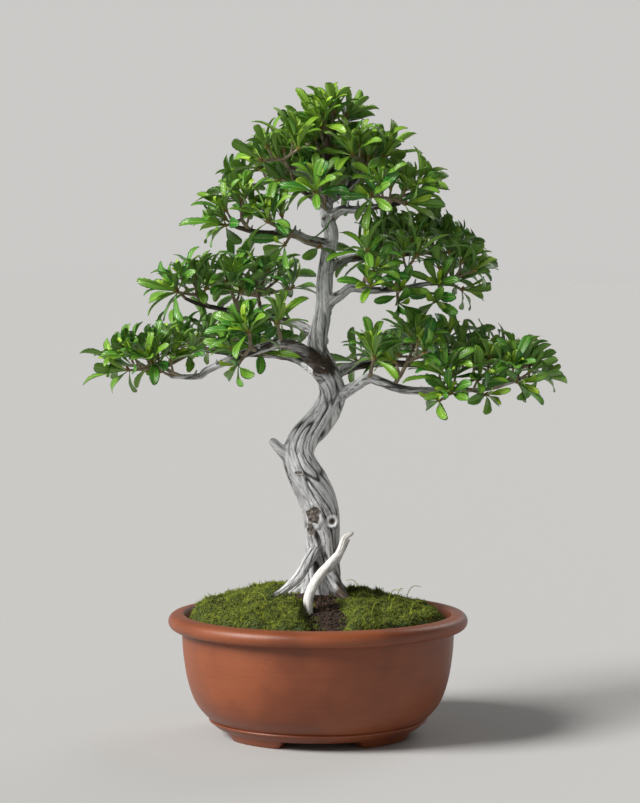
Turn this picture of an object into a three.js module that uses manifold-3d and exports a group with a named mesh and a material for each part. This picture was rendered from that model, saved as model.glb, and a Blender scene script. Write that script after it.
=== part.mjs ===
// A bonsai tree with evergreen leaf whorls in a round unglazed clay pot.
// Millimetres, +Z up, the viewer at -Y. Everything is placed from the pot's axis with the feet on z = 0,
// and the finished group is then moved so that its box stands centred on the origin.
import * as THREE from "three";
import { mergeVertices } from "three/addons/utils/BufferGeometryUtils.js";
import Module from "manifold-3d";

const wasm = await Module();
wasm.setup();

// ---------- driving dimensions ----------

const GAP = 0.3; // between pieces that touch
const POT_SIDES = 32;
const RIM_RADIUS = 135.5;
const RIM_TOP = 111;
const RIM_INNER = 121; // the mouth's radius
const FLOOR_UNDER = 7; // the feet's height
const FLOOR_TOP = 15;
const FOOT = { outerTop: 91, outerBottom: 86, innerTop: 68, innerBottom: 72, halfTop: 23, halfBottom: 19,
  steps: 5 };
const FOOT_ANGLES = [-43, 47, 137, 227]; // degrees from the front towards +X
const DRAIN = { radius: 11, offset: 34 };
const SCREEN = { side: 34, thick: 1, holes: 2, holeSide: 12 };
const GRIT_TOP = 28;

// The pot's outer wall and inner wall, and what fills it: [radius, height].
const POT_OUTSIDE = [[90, 7], [96.5, 12.4], [99, 13.4], [99, 15.2], [109, 27], [116.5, 44], [121, 66],
  [123, 88], [123.5, 95], [131, 96.5]];
const RIM_ROLL = { radius: 6.8, z: 103.3, steps: 3 };
const POT_INSIDE = [[RIM_INNER, RIM_TOP - 1.5], [117, 99], [115, 88], [113, 66], [108.5, 44], [101, 27], [93, 18]];

const GRIT_WALL = [[85, FLOOR_TOP + GAP], [92.4, 18.4], [100, GRIT_TOP]];
const SOIL_WALL = [[100.5, GRIT_TOP + GAP], [107, 44], [111.5, 66], [113.5, 88]];
const SOIL_TOP = [[112, 100], [95, 105], [70, 112], [45, 118], [25, 125], [12, 128]];
const SOIL_PEAK = 129;
const FILL_SIDES = 24;
const MOSS_EDGE = 1.5; // how thick a patch is at its rounded border
const MOSS_CELLS = { around: 12, across: 4 };
// The patches' borders are angles at the rim and near the trunk; in front of the trunk the soil is bare further out.
const BARE = { angle: -20, width: 24, depth: 20 };
const MOSS_PATCHES = [
  { name: "moss_left", from: [-168, -168], to: [-1, -12], inner: 31, outer: 117,
    top: [[31, 130], [45, 131], [60, 128], [80, 124], [100, 119], [117, 110]] },
  { name: "moss_right", from: [9, 32], to: [98, 98], inner: 30, outer: 116,
    top: [[30, 128], [40, 127], [60, 122], [80, 118], [100, 113], [116, 107]] },
  { name: "moss_back", from: [102, 102], to: [188, 188], inner: 33, outer: 116,
    top: [[33, 130], [45, 128], [60, 124], [80, 119], [100, 113], [116, 107]] },
];

// Woody limbs: [x, y, z, radius] along each centre line.
const TRUNK = [[3, 8, 92, 20], [4, 6, 112, 25], [5, 5, 126, 21.5], [5, 4, 142, 17.5], [4, 2, 162, 16],
  [4, 0, 185, 16.6], [1, -4, 208, 17.4], [-8, -8, 229, 17.6], [-16, -10, 244, 16.2], [-18, -8, 257, 14.6],
  [-12, -4, 270, 14.4], [0, 3, 282, 14], [9, 8, 295, 13.4], [13, 9, 309, 13], [10, 6, 323, 12.6],
  [4, 0, 337, 11], [-1, -5, 350, 9.6], [1, -6, 365, 8.7], [5, -4, 385, 8], [6, -2, 408, 7.6], [8, 0, 430, 7],
  [12, 2, 450, 6.7], [9, 3, 465, 6.7], [7, 3, 480, 5.8], [9, 2, 500, 4.6], [9, 0, 520, 3.6], [8, -4, 538, 2.6]];
const DEAD_STUB = [[-12, -8, 238, 11], [-23, -10, 249, 8], [-32, -12, 257.5, 5.8], [-40, -13, 265.5, 4.2]];
const SURFACE_ROOTS = [
  [[-2, -8, 168, 6.5], [-10, -18, 157, 5.8], [-16.4, -26, 147, 5], [-24.3, -32, 139.6, 4.2], [-32.2, -38, 134, 3.4],
    [-42, -44, 129.5, 2.6], [-50, -48, 124, 2]],
  [[8, -6, 150, 7], [18, -14, 132, 6], [28, -22, 121, 4.6], [40, -30, 110, 3.4]],
  [[-6, 8, 140, 8], [-20, 18, 126, 6.4], [-36, 26, 114, 4.4], [-48, 32, 104, 3]],
  [[10, 12, 140, 8], [22, 26, 124, 6.4], [34, 40, 112, 4.4], [42, 48, 102, 3]],
];
const DEADWOOD = [[-9, -53, 104, 4.4], [-9, -52, 117, 4.2], [-8.6, -50, 129, 4.2], [-5.2, -47, 138.3, 4.6],
  [2, -42, 149, 4.8], [10.7, -36, 157.7, 4.6], [18.7, -31, 166.7, 4], [21.9, -28, 174.4, 3.3], [24.3, -27, 181, 2.7],
  [29.9, -28, 184.8, 2]];
const BRANCHES = {
  left_low: [[4, 0, 333, 7.6], [-3, -9, 339, 6.8], [-12, -17, 347, 5.9], [-21, -22, 352, 5.1], [-35, -28, 355, 4.5],
    [-49, -34, 351, 4], [-70, -40, 344, 3.7], [-97, -44, 332, 3.2], [-106, -44, 326, 2.8], [-129, -42, 326, 2]],
  left_mid: [[3, 0, 357, 5.6], [-6, 13, 363, 4.8], [-18, 24, 370, 4.1], [-35, 30, 374, 3.6], [-51, 32, 379, 3.2],
    [-81, 22, 383, 2.6], [-107, 10, 389, 2], [-119, 4, 394, 1.6]],
  right_low: [[12, 8, 303, 8], [25, 3, 310, 5.8], [36, -8, 317, 4.6], [46, -15, 323, 4.3], [56, -18, 320, 4],
    [78, -19, 313, 3.6], [115, -10, 312, 2.7], [153, -2, 313, 2], [182, 4, 321, 1.4]],
  right_mid: [[6, -2, 388, 6.4], [13, -6, 393, 5.2], [21, -10, 398, 4.6], [30, -14, 404, 4.2], [48, -16, 402, 3.4],
    [71, -10, 403, 2.8], [95, 0, 407, 2.2], [121, 10, 409, 1.6]],
  crown_left: [[9, 2, 442, 5.6], [3, -5, 444, 4.8], [-10, -14, 447, 4.2], [-21, -22, 452, 3.6], [-34, -28, 452, 3.1],
    [-52, -33, 453, 2.6], [-72, -36, 458, 1.9]],
  crown_left_high: [[8, 1, 478, 4.8], [-2, -8, 492, 3.8], [-12, -15, 506, 2.9], [-26, -18, 511, 2.1]],
  crown_right_low: [[9, 2, 466, 5.4], [22, -6, 474, 3.9], [36, -12, 474, 3.3], [56, -14, 477, 2.6], [72, -14, 479, 2]],
  crown_right_high: [[8, 3, 482, 4.8], [20, 2, 489, 3.9], [33, -4, 499, 3.2], [40, -8, 508, 2.5]],
  back_left: [[4, 2, 325, 7], [-8, 24, 333, 5.2], [-24, 44, 340, 4.3], [-48, 62, 342, 3.5], [-78, 74, 342, 2.7],
    [-108, 80, 345, 1.9]],
  back_right: [[10, 10, 320, 7], [22, 28, 328, 5.2], [40, 44, 333, 4.3], [66, 56, 334, 3.5], [98, 62, 332, 2.7],
    [132, 66, 332, 1.9]],
  back_mid: [[7, 0, 418, 6], [14, 16, 424, 4.8], [28, 34, 430, 4], [50, 48, 432, 3.2], [78, 54, 434, 2.5],
    [104, 58, 436, 1.8]],
  crown_back: [[9, 4, 462, 5.4], [7, 20, 472, 4.4], [0, 38, 482, 3.6], [-8, 56, 488, 2.8], [-14, 72, 492, 2]],
};

const SIDES = { trunk: 10, deadwood: 8, branch: 6, twig: 3 }; // of each limb's cross-section

const LEAF = { length: 38, width: 12, thick: 1.3, widest: 0.2, clearance: 1 };
const SWEEP = { trunk: 0.04, branch: 0.2 }; // how far back towards the limb's start a shoot leaves it
const TWIG = { root: 2, fork: 1.6, tip: 0.8 };
const DETOURS = [[0, 0, 6], [0, 0, -6], [0, 6, 0], [0, -6, 0], [6, 0, 0], [-6, 0, 0], [0, 0, 11], [0, 0, -11],
  [0, 9, 6], [0, -9, 6], [9, 0, 6], [-9, 0, 6]]; // ways round another twig
const BUD = { height: 2, valley: 2.4, stalk: 0.8 }; // half height, radius between leaves, twig's end below it

// Leafy shoots. A bud with tips holds its own leaves, each [x, z] of the leaf's tip from the bud; the leaf leans
// towards or away from the viewer by what its full length leaves over. A bud without tips gets a turned ring.
const SHOOTS = [
  { limb: "left_low", buds: [
    { at: [-145, -46, 339], tips: [[-19, 19], [-6, 27], [10, 27], [20, 29], [28, 19], [25, 3], [3, -17], [-20, -19]] },
    { at: [-176, -36, 336], tips: [[-34, 12], [-15, 22], [-1, 30], [9, 22], [-25, -3], [-6, -14]] },
    { at: [-166, -58, 332], tips: [[-41, -11], [-18, -20], [-30, 4], [4, -16]] },
    { at: [-116, -24, 344], tips: [[6, 20], [14, 9], [-12, 12], [-16, -6], [8, -18]] }] },
  { limb: "left_low", buds: [
    { at: [-60, -62, 365],
      tips: [[-12, -20], [-36, -13], [-40, 1], [-34, 14], [-15, 26], [-3, 30], [14, 16], [27, -14]] },
    { at: [-70, -50, 337], tips: [[4, -17], [-12, -14], [14, -8]] }] },
  { limb: "left_low", buds: [
    { at: [-36, -40, 372], tips: [[-2, 30], [27, 24], [27, 4], [22, -8], [-14, 22], [-10, 6]] }] },
  { limb: "left_mid", buds: [
    { at: [-126, -4, 400], tips: [[-36, 11], [-28, -8], [-26, -19], [-14, -26], [5, -25], [-8, 27], [16, 20]] },
    { at: [-111, 14, 405], tips: [[-6, 27], [12, 33], [-22, 21], [22, 12], [10, -14]] }] },
  { limb: "left_mid", buds: [
    { at: [-83, 18, 408], tips: [[-6, 24], [15, 20], [30, 18], [16, -11], [-19, 8], [-12, -16], [26, 0]] }] },
  { limb: "crown_left", buds: [
    { at: [-68, -34, 481], tips: [[-39, 2], [-20, 16], [-7, 26], [20, 12], [-26, -12], [8, -14]] },
    { at: [-81, -48, 459], tips: [[-41, 2], [-22, 13], [-15, 18], [-20, -14], [-12, -18], [16, -6]] }] },
  { limb: "crown_left", buds: [
    { at: [-44, -58, 462], tips: [[-11, 31], [6, 36], [21, 23], [32, 7], [19, -4], [-16, -14], [-33, 12]] },
    { at: [-29, -44, 442], tips: [[-19, -7], [-13, -14], [3, -20]] },
    { at: [0, -30, 440], tips: [[-13, -9], [8, -13]] }] },
  { limb: "crown_left_high", buds: [
    { at: [-49, -24, 517], tips: [[-27, 17], [-27, 3], [-4, 22], [6, 20], [-18, -30], [14, -14]] },
    { at: [-18, -40, 526], tips: [[-39, 27], [-19, 38], [-8, 36], [4, 26], [14, 22], [-22, 2], [16, 0]] }] },
  { limb: "trunk", buds: [
    { at: [-2, -52, 488], tips: [[6, 29], [-18, 12], [-23, 0], [-17, -14], [2, -14], [20, -8], [17, 13]] }] },
  { limb: "trunk", buds: [
    { at: [4, -12, 548], tips: [[-23, 34], [-2, 30], [15, 17], [-14, 24], [-26, 12], [-17, -14], [20, -6]] },
    { at: [15, 8, 560], tips: [[-6, 26], [3, 24], [-20, 17], [18, 12], [10, -12]] },
    { at: [24, 24, 552], tips: [[15, 30], [20, 18], [27, 8], [-8, 22], [6, -14]] }] },
  { limb: "crown_right_high", buds: [
    { at: [31, -28, 521], tips: [[-24, 21], [-9, 21], [5, 26], [18, 29], [24, 14], [-29, 6], [-14, -13], [12, -14]] },
    { at: [58, -14, 520], tips: [[-4, 23], [10, 35], [28, 22], [35, 6], [-12, -9], [18, -12]] },
    { at: [46, 10, 506], tips: [[31, 7], [40, 16], [10, -16], [20, 24]] }] },
  { limb: "crown_right_low", buds: [
    { at: [93, -8, 491], tips: [[2, 27], [24, 16], [23, 2], [16, -8], [-12, 18], [-6, -12]] },
    { at: [77, -30, 478], tips: [[36, 0], [28, -13], [10, 16], [-18, 8], [4, -18]] },
    { at: [48, -40, 485], tips: [[15, 11], [-15, -21], [-6, -30], [-16, 8], [16, -12]] }] },
  { limb: "right_mid", buds: [
    { at: [44, -46, 436], tips: [[13, 29], [-24, 18], [-37, -6], [-20, 3], [-3, 16], [21, 15], [2, -13], [16, -4]] },
    { at: [47, -44, 405], tips: [[-30, 6], [-4, 14], [-8, -12], [14, 4]] }] },
  { limb: "right_mid", buds: [
    { at: [87, -26, 432], tips: [[-9, 36], [10, 37], [50, 9], [16, -6], [-23, 22], [-26, 3], [28, 20]] },
    { at: [71, -24, 391], tips: [[-4, -12], [22, -12], [8, 12]] }] },
  { limb: "right_mid", buds: [
    { at: [124, 20, 433], tips: [[-4, 20], [16, 15], [-18, 8], [20, -4]] },
    { at: [139, 2, 418], tips: [[-2, 24], [25, 4], [8, -12], [16, 16]] },
    { at: [130, 16, 402], tips: [[26, 4], [22, -8], [-3, -16], [10, -18], [-18, 6]] },
    { at: [106, -6, 392], tips: [[17, -10], [-12, -10], [4, 12]] }] },
  { limb: "right_low", buds: [
    { at: [50, -44, 342], tips: [[-21, 16], [-10, 18], [4, 22], [27, 18], [20, -16], [-21, -11]] }] },
  { limb: "right_low", buds: [
    { at: [94, -34, 346], tips: [[4, 23], [16, 13], [-17, 13], [-14, -4], [12, -10]] },
    { at: [90, -8, 361], tips: [[-14, 24], [11, 18], [-20, 8], [22, 4]] }] },
  { limb: "right_low", buds: [
    { at: [116, -40, 323], tips: [[11, 30], [-5, 32], [31, 14], [13, -14], [-41, -1], [-34, 14], [-20, 22], [-6, -9]] },
    { at: [138, 14, 334], tips: [[5, 31], [-12, 30], [20, 14], [-18, 12], [14, 24]] }] },
  { limb: "right_low", buds: [
    { at: [164, -14, 334], tips: [[-12, 23], [-2, 21], [14, -3], [6, -14], [9, 15]] },
    { at: [149, -28, 309], tips: [[-2, -14], [14, -10], [-16, -4]] },
    { at: [109, -26, 304], tips: [[3, -14], [-12, -8], [14, -2]] }] },
  { limb: "right_low", buds: [
    { at: [188, 6, 334], tips: [[-6, 20], [3, 18], [20, 21], [14, 4], [-14, 6]] },
    { at: [200, 16, 323], tips: [[2, 14], [9, 8], [25, -3], [18, -14], [-2, -16]] },
    { at: [177, -28, 320], tips: [[22, -18], [10, -17], [26, 8], [-4, -20], [-10, 10]] }] },
];

// Domed pads of foliage behind the limbs above: buds on a golden spiral, shared out among a few shoots.
const PADS = [
  { limb: "back_left", shoots: 3, buds: 11, centre: [-84, 78, 340], rx: 74, ry: 44, dome: 24 },
  { limb: "back_right", shoots: 3, buds: 11, centre: [104, 66, 333], rx: 78, ry: 42, dome: 22 },
  { limb: "left_mid", shoots: 1, buds: 7, centre: [-60, 60, 398], rx: 48, ry: 34, dome: 22 },
  { limb: "back_mid", shoots: 3, buds: 9, centre: [82, 64, 424], rx: 60, ry: 42, dome: 26 },
  { limb: "crown_back", shoots: 3, buds: 12, centre: [-4, 62, 486], rx: 84, ry: 40, dome: 44 },
  { limb: "trunk", shoots: 1, buds: 4, centre: [-4, 22, 526], rx: 30, ry: 14, dome: 18 },
];
const GOLDEN_ANGLE = Math.PI * (3 - Math.sqrt(5));
const PAD_RING = 5; // leaves in a pad bud's outer ring

// ---------- materials ----------

const CLAY = { color: 0x8a4a30, roughness: 0.75, metalness: 0 };
const WOOD = { color: 0x9a958c, roughness: 0.8, metalness: 0 };
const DEAD_WOOD = { color: 0xd8d5cc, roughness: 0.75, metalness: 0 };
const LEAVES = { color: 0x3f8a35, roughness: 0.45, metalness: 0 };
const MOSS = { color: 0x4d7a22, roughness: 0.95, metalness: 0 };
const SOIL = { color: 0x33261e, roughness: 1, metalness: 0 };
const GRIT = { color: 0x7a6a5a, roughness: 1, metalness: 0 };
const SCREEN_PLASTIC = { color: 0x20241f, roughness: 0.6, metalness: 0 };

const group = new THREE.Group();

// ---------- solids ----------

function toSolid(geometry) {
  const bare = geometry.clone();
  bare.deleteAttribute("normal");
  bare.deleteAttribute("uv");
  const merged = mergeVertices(bare, 1e-4);
  const vertProperties = new Float32Array(merged.attributes.position.array);
  const triVerts = new Uint32Array(merged.index.array);
  return new wasm.Manifold(new wasm.Mesh({ numProp: 3, vertProperties, triVerts }));
}

function addPiece(name, solid, finish) {
  const mesh = solid.getMesh();
  const geometry = new THREE.BufferGeometry();
  geometry.setAttribute("position", new THREE.BufferAttribute(mesh.vertProperties, 3));
  geometry.setIndex(new THREE.BufferAttribute(mesh.triVerts, 1));
  geometry.computeVertexNormals();
  const piece = new THREE.Mesh(geometry, new THREE.MeshStandardMaterial(finish));
  piece.name = name;
  group.add(piece);
}

function lathe(profile, sides) {
  const geometry = new THREE.LatheGeometry(profile.map(([r, z]) => new THREE.Vector2(r, z)), sides);
  geometry.rotateX(Math.PI / 2);
  return toSolid(geometry);
}

function largestBody(solid) {
  const bodies = solid.decompose();
  return bodies.reduce((best, body) => (body.volume() > best.volume() ? body : best));
}

function unite(solids) {
  return solids.reduce((sum, solid) => sum.add(solid));
}

// The height of a profile of [radius, height] points at one radius.
function heightAt(profile, radius) {
  const points = [...profile].sort((a, b) => a[0] - b[0]);
  const i = points.findIndex((point) => point[0] >= radius);
  if (i < 0) return points.at(-1)[1];
  if (i === 0) return points[0][1];
  const [r0, z0] = points[i - 1];
  const [r1, z1] = points[i];
  return z0 + ((z1 - z0) * (radius - r0)) / (r1 - r0);
}

// A repeatable scatter between 0 and 1.
function hash01(n) {
  const wave = Math.sin(n * 12.9898 + 78.233) * 43758.5453;
  return wave - Math.floor(wave);
}

// ---------- pot and what it holds ----------

function rimArc() {
  const centre = RIM_RADIUS - RIM_ROLL.radius;
  const points = [];
  for (let i = 0; i <= RIM_ROLL.steps; i += 1) {
    const angle = -0.55 + (i / RIM_ROLL.steps) * (0.55 + Math.PI / 2);
    points.push([centre + RIM_ROLL.radius * Math.cos(angle), RIM_ROLL.z + RIM_ROLL.radius * Math.sin(angle)]);
  }
  points.push([RIM_INNER + 2, RIM_TOP]);
  return points;
}

// A wedge of the pot's foot ring, narrower at the ground than under the floor.
function foot(angleDegrees) {
  const geometry = new THREE.BoxGeometry(1, 1, 1, FOOT.steps, 1, 1);
  const position = geometry.attributes.position;
  for (let i = 0; i < position.count; i += 1) {
    const top = position.getZ(i) > 0;
    const outside = position.getY(i) < 0;
    const half = top ? FOOT.halfTop : FOOT.halfBottom;
    const angle = THREE.MathUtils.degToRad(angleDegrees + 2 * half * position.getX(i));
    const radius = outside
      ? (top ? FOOT.outerTop : FOOT.outerBottom)
      : (top ? FOOT.innerTop : FOOT.innerBottom);
    position.setXYZ(i, radius * Math.sin(angle), -radius * Math.cos(angle), top ? FLOOR_UNDER + 1 : 0);
  }
  return toSolid(geometry);
}

function drainTool(side) {
  const geometry = new THREE.CylinderGeometry(DRAIN.radius, DRAIN.radius, 20, 20);
  geometry.rotateX(Math.PI / 2);
  geometry.translate(side * DRAIN.offset, 0, FLOOR_UNDER + 4);
  return toSolid(geometry);
}

function buildPot() {
  const profile = [[0, FLOOR_UNDER], ...POT_OUTSIDE, ...rimArc(), ...POT_INSIDE, [86, FLOOR_TOP], [0, FLOOR_TOP]];
  let pot = lathe(profile, POT_SIDES);
  for (const angle of FOOT_ANGLES) pot = pot.add(foot(angle));
  for (const side of [-1, 1]) pot = pot.subtract(drainTool(side));
  addPiece("pot", pot, CLAY);
}

function box(width, depth, height, x, y, z) {
  const geometry = new THREE.BoxGeometry(width, depth, height);
  geometry.translate(x, y, z);
  return toSolid(geometry);
}

// A plastic screen lies over each drain hole so that grit stays in.
function buildScreen(side) {
  const z = FLOOR_TOP + GAP + SCREEN.thick / 2;
  let screen = box(SCREEN.side, SCREEN.side, SCREEN.thick, side * DRAIN.offset, 0, z);
  const pitch = SCREEN.side / SCREEN.holes;
  for (let i = 0; i < SCREEN.holes; i += 1) {
    for (let j = 0; j < SCREEN.holes; j += 1) {
      const x = side * DRAIN.offset + (i - (SCREEN.holes - 1) / 2) * pitch;
      const y = (j - (SCREEN.holes - 1) / 2) * pitch;
      screen = screen.subtract(box(SCREEN.holeSide, SCREEN.holeSide, SCREEN.thick * 3, x, y, z));
    }
  }
  addPiece(side < 0 ? "drain_screen_left" : "drain_screen_right", screen, SCREEN_PLASTIC);
}

function buildGrit() {
  const bottom = FLOOR_TOP + GAP;
  let grit = lathe([[0, bottom], ...GRIT_WALL, [0, GRIT_TOP]], FILL_SIDES);
  const recess = SCREEN.side + 2 * GAP;
  for (const side of [-1, 1]) {
    const height = 2 * (SCREEN.thick + GAP);
    grit = grit.subtract(box(recess, recess, height, side * DRAIN.offset, 0, bottom));
  }
  addPiece("drainage_grit", grit, GRIT);
}

function buildSoil(buried) {
  const soil = lathe([[0, GRIT_TOP + GAP], ...SOIL_WALL, ...SOIL_TOP, [0, SOIL_PEAK]], FILL_SIDES);
  addPiece("soil", largestBody(soil.subtract(buried)), SOIL);
}

// A cushion of moss: a sector that follows the soil below and its own profile above, with an uneven border.
function mossPatch(patch) {
  const geometry = new THREE.BoxGeometry(1, 1, 1, MOSS_CELLS.around, MOSS_CELLS.across, 1);
  const position = geometry.attributes.position;
  for (let i = 0; i < position.count; i += 1) {
    const u = position.getX(i) + 0.5;
    const v = 0.5 - position.getY(i);
    const [start, end] = [patch.from, patch.to].map(([atRim, atTrunk]) => THREE.MathUtils.lerp(atTrunk, atRim, v));
    const sway = Math.sin(v * 7 + patch.from[0]) * 4 * (1 - Math.abs(2 * u - 1));
    const degrees = start + (end - start) * u + sway;
    const angle = THREE.MathUtils.degToRad(degrees);
    const bare = BARE.depth * Math.exp(-(((degrees - BARE.angle) / BARE.width) ** 2));
    const inner = patch.inner + bare + 5 * Math.sin(angle * 5 + patch.from[0]);
    const radius = inner + (patch.outer - inner) * v;
    const soil = heightAt([[0, SOIL_PEAK], ...SOIL_TOP], radius) + 2 * GAP;
    const border = Math.min(u, 1 - u, v, 1 - v) < 0.02;
    const swell = 1.5 * Math.sin(angle * 9) * Math.sin(radius * 0.11);
    const top = border ? soil + MOSS_EDGE : Math.max(heightAt(patch.top, radius) + swell, soil + MOSS_EDGE);
    position.setXYZ(i, radius * Math.sin(angle), -radius * Math.cos(angle), position.getZ(i) > 0 ? top : soil);
  }
  return toSolid(geometry);
}

// ---------- limbs ----------

// A closed tapering limb: a cylinder whose rings are carried along the curve, one to each point.
function limb(points, sides, extra = 0) {
  const curve = new THREE.CatmullRomCurve3(points.map(([x, y, z]) => new THREE.Vector3(x, y, z)), false,
    "catmullrom", 0.5);
  const rings = points.length - 1;
  const frames = carriedFrames(curve, rings);
  const geometry = new THREE.CylinderGeometry(1, 1, 1, sides, rings);
  const position = geometry.attributes.position;
  for (let i = 0; i < position.count; i += 1) {
    const ring = Math.round((position.getY(i) + 0.5) * rings);
    const radius = points[ring][3] + extra;
    const { centre, side, up } = frames[ring];
    const place = centre.clone();
    place.addScaledVector(side, position.getX(i) * radius);
    place.addScaledVector(up, -position.getZ(i) * radius);
    position.setXYZ(i, place.x, place.y, place.z);
  }
  return toSolid(geometry);
}

// Frames along a curve that turn as little as possible from one ring to the next.
function carriedFrames(curve, rings) {
  const frames = [];
  let side = new THREE.Vector3(0, 1, 0);
  if (Math.abs(curve.getTangent(0).y) > 0.9) side = new THREE.Vector3(1, 0, 0);
  for (let ring = 0; ring <= rings; ring += 1) {
    const along = curve.getTangent(ring / rings);
    side = side.clone().addScaledVector(along, -side.dot(along)).normalize();
    frames.push({ centre: curve.getPoint(ring / rings), side, up: along.clone().cross(side) });
  }
  return frames;
}

function limbSegments(points, margin) {
  return points.slice(1).map((end, i) => convexPiece(
    [new THREE.Vector3(...points[i]), new THREE.Vector3(...end)],
    Math.max(points[i][3], end[3]) + margin,
  ));
}

function trunkSolid(extra) {
  const pieces = [limb(TRUNK, SIDES.trunk, extra), limb(DEAD_STUB, SIDES.branch, extra)];
  for (const root of SURFACE_ROOTS) pieces.push(limb(root, SIDES.branch, extra));
  return unite(pieces);
}

function buildWood() {
  const fatTrunk = trunkSolid(GAP);
  addPiece("trunk", trunkSolid(0), WOOD);
  const deadwood = limb(DEADWOOD, SIDES.deadwood).subtract(fatTrunk);
  addPiece("deadwood", largestBody(deadwood), DEAD_WOOD);
  for (const [name, points] of Object.entries(BRANCHES)) {
    const branch = limb(points, SIDES.branch).subtract(fatTrunk);
    addPiece(`branch_${name}`, largestBody(branch), WOOD);
  }
  const buried = fatTrunk.add(limb(DEADWOOD, SIDES.deadwood, GAP));
  buildSoil(buried);
  for (const patch of MOSS_PATCHES) {
    addPiece(patch.name, largestBody(mossPatch(patch).subtract(buried)), MOSS);
  }
}

// ---------- keeping leaves clear of each other ----------

// A convex piece for the clearance test: its points, its edges and a rounding radius.
function convexPiece(points, radius = 0) {
  const edges = [];
  for (let i = 0; i < points.length; i += 1) {
    for (let j = i + 1; j < points.length; j += 1) edges.push(points[j].clone().sub(points[i]).normalize());
  }
  const normals = [];
  for (let i = 0; i < edges.length; i += 1) {
    for (let j = i + 1; j < edges.length; j += 1) normals.push(edges[i].clone().cross(edges[j]));
  }
  const centre = points.reduce((sum, point) => sum.add(point), new THREE.Vector3()).divideScalar(points.length);
  const reach = Math.max(...points.map((point) => point.distanceTo(centre))) + radius;
  return { points, edges, normals, radius, centre, reach };
}

function span(points, axis) {
  const heights = points.map((point) => point.dot(axis));
  return [Math.min(...heights), Math.max(...heights)];
}

// Two convex pieces are apart where some direction shows a clear gap between them.
function apart(a, b, clearance) {
  const need = a.radius + b.radius + clearance;
  if (a.centre.distanceTo(b.centre) > a.reach + b.reach + clearance) return true;
  const axes = [...a.normals, ...b.normals, a.centre.clone().sub(b.centre)];
  for (const edgeA of a.edges) {
    for (const edgeB of b.edges) axes.push(edgeA.clone().cross(edgeB));
  }
  return axes.some((axis) => {
    if (axis.lengthSq() < 1e-6) return false;
    const direction = axis.clone().normalize();
    const [lowA, highA] = span(a.points, direction);
    const [lowB, highB] = span(b.points, direction);
    return Math.max(lowB - highA, lowA - highB) > need;
  });
}

// ---------- shoots and leaves ----------

function closestOnLimb(points, target) {
  let best = null;
  for (let i = 0; i + 1 < points.length; i += 1) {
    const line = new THREE.Line3(new THREE.Vector3(...points[i]), new THREE.Vector3(...points[i + 1]));
    const point = line.closestPointToPoint(target, true, new THREE.Vector3());
    const distance = point.distanceTo(target);
    if (!best || distance < best.distance) best = { point, distance };
  }
  return best.point;
}

function limbPoints(name) {
  return name === "trunk" ? TRUNK : BRANCHES[name];
}

// A twig's route: straight, or bent one way or another to pass the twigs that are already there.
function routeTwig(start, end, neighbours) {
  const middle = start.clone().lerp(end, 0.5);
  const straight = [[...start, TWIG.fork], [...end, TWIG.tip]];
  const bent = DETOURS.map(([x, y, z]) => {
    const bend = [middle.x + x, middle.y + y, middle.z + z, (TWIG.fork + TWIG.tip) / 2];
    return [straight[0], bend, straight[1]];
  });
  const clear = (route) => limbSegments(route, 0).every(
    (piece) => neighbours.every((other) => apart(piece, other, LEAF.clearance)));
  return [straight, ...bent].find(clear) ?? straight;
}

// Where a shoot forks: about half way to its buds, moved aside where another twig is in the way.
function placeFork(root, middle, neighbours) {
  const straight = root.clone().lerp(middle, 0.5).add(new THREE.Vector3(0, 0, 2));
  const places = [[0, 0, 0], ...DETOURS].map((offset) => straight.clone().add(new THREE.Vector3(...offset)));
  const clear = (fork) => {
    const outer = convexPiece([root.clone().lerp(fork, 0.4), fork], TWIG.root);
    return neighbours.every((other) => apart(outer, other, LEAF.clearance));
  };
  return places.find(clear) ?? straight;
}

// A shoot's twigs: one from the limb to a fork among its buds, and one from the fork to each bud.
function planShoot({ limb: limbName, buds }, neighbours) {
  const middle = buds.reduce((sum, bud) => sum.add(new THREE.Vector3(...bud.at)), new THREE.Vector3());
  middle.divideScalar(buds.length);
  const points = limbPoints(limbName);
  const inward = middle.clone().lerp(new THREE.Vector3(...points[0]), limbName === "trunk" ? SWEEP.trunk : SWEEP.branch);
  const root = closestOnLimb(points, inward);
  const fork = placeFork(root, middle, neighbours);
  const twigs = [[[...root, TWIG.root], [...fork, TWIG.fork]]];
  for (const bud of buds) {
    const hub = new THREE.Vector3(...bud.at);
    const end = hub.clone().addScaledVector(fork.clone().sub(hub).normalize(), BUD.stalk);
    twigs.push(routeTwig(fork, end, neighbours));
  }
  neighbours.push(...twigs.flatMap((twig) => limbSegments(twig, 0)));
  neighbours.push(...buds.map((bud) => convexPiece([new THREE.Vector3(...bud.at)], BUD.valley)));
  return { fork, twigs, buds };
}

// The way a pad's bud faces: on from its fork, and up towards the light.
function budAxis(bud, fork) {
  const out = new THREE.Vector3(...bud.at).sub(fork).normalize();
  return out.add(new THREE.Vector3(0, bud.at[1] < 0 ? -0.25 : 0.2, 0.8)).normalize();
}

// The reaches of a bud's own leaves, from hub to tip.
function tipReaches(bud, seed) {
  return bud.tips.map(([x, z], i) => {
    const shown = Math.hypot(x, z);
    const full = Math.max(shown, LEAF.length * (0.85 + 0.25 * hash01(seed + i)));
    const lean = Math.sqrt(full * full - shown * shown) * 0.9;
    return new THREE.Vector3(x, i % 2 === 0 ? -lean : lean, z);
  });
}

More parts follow.
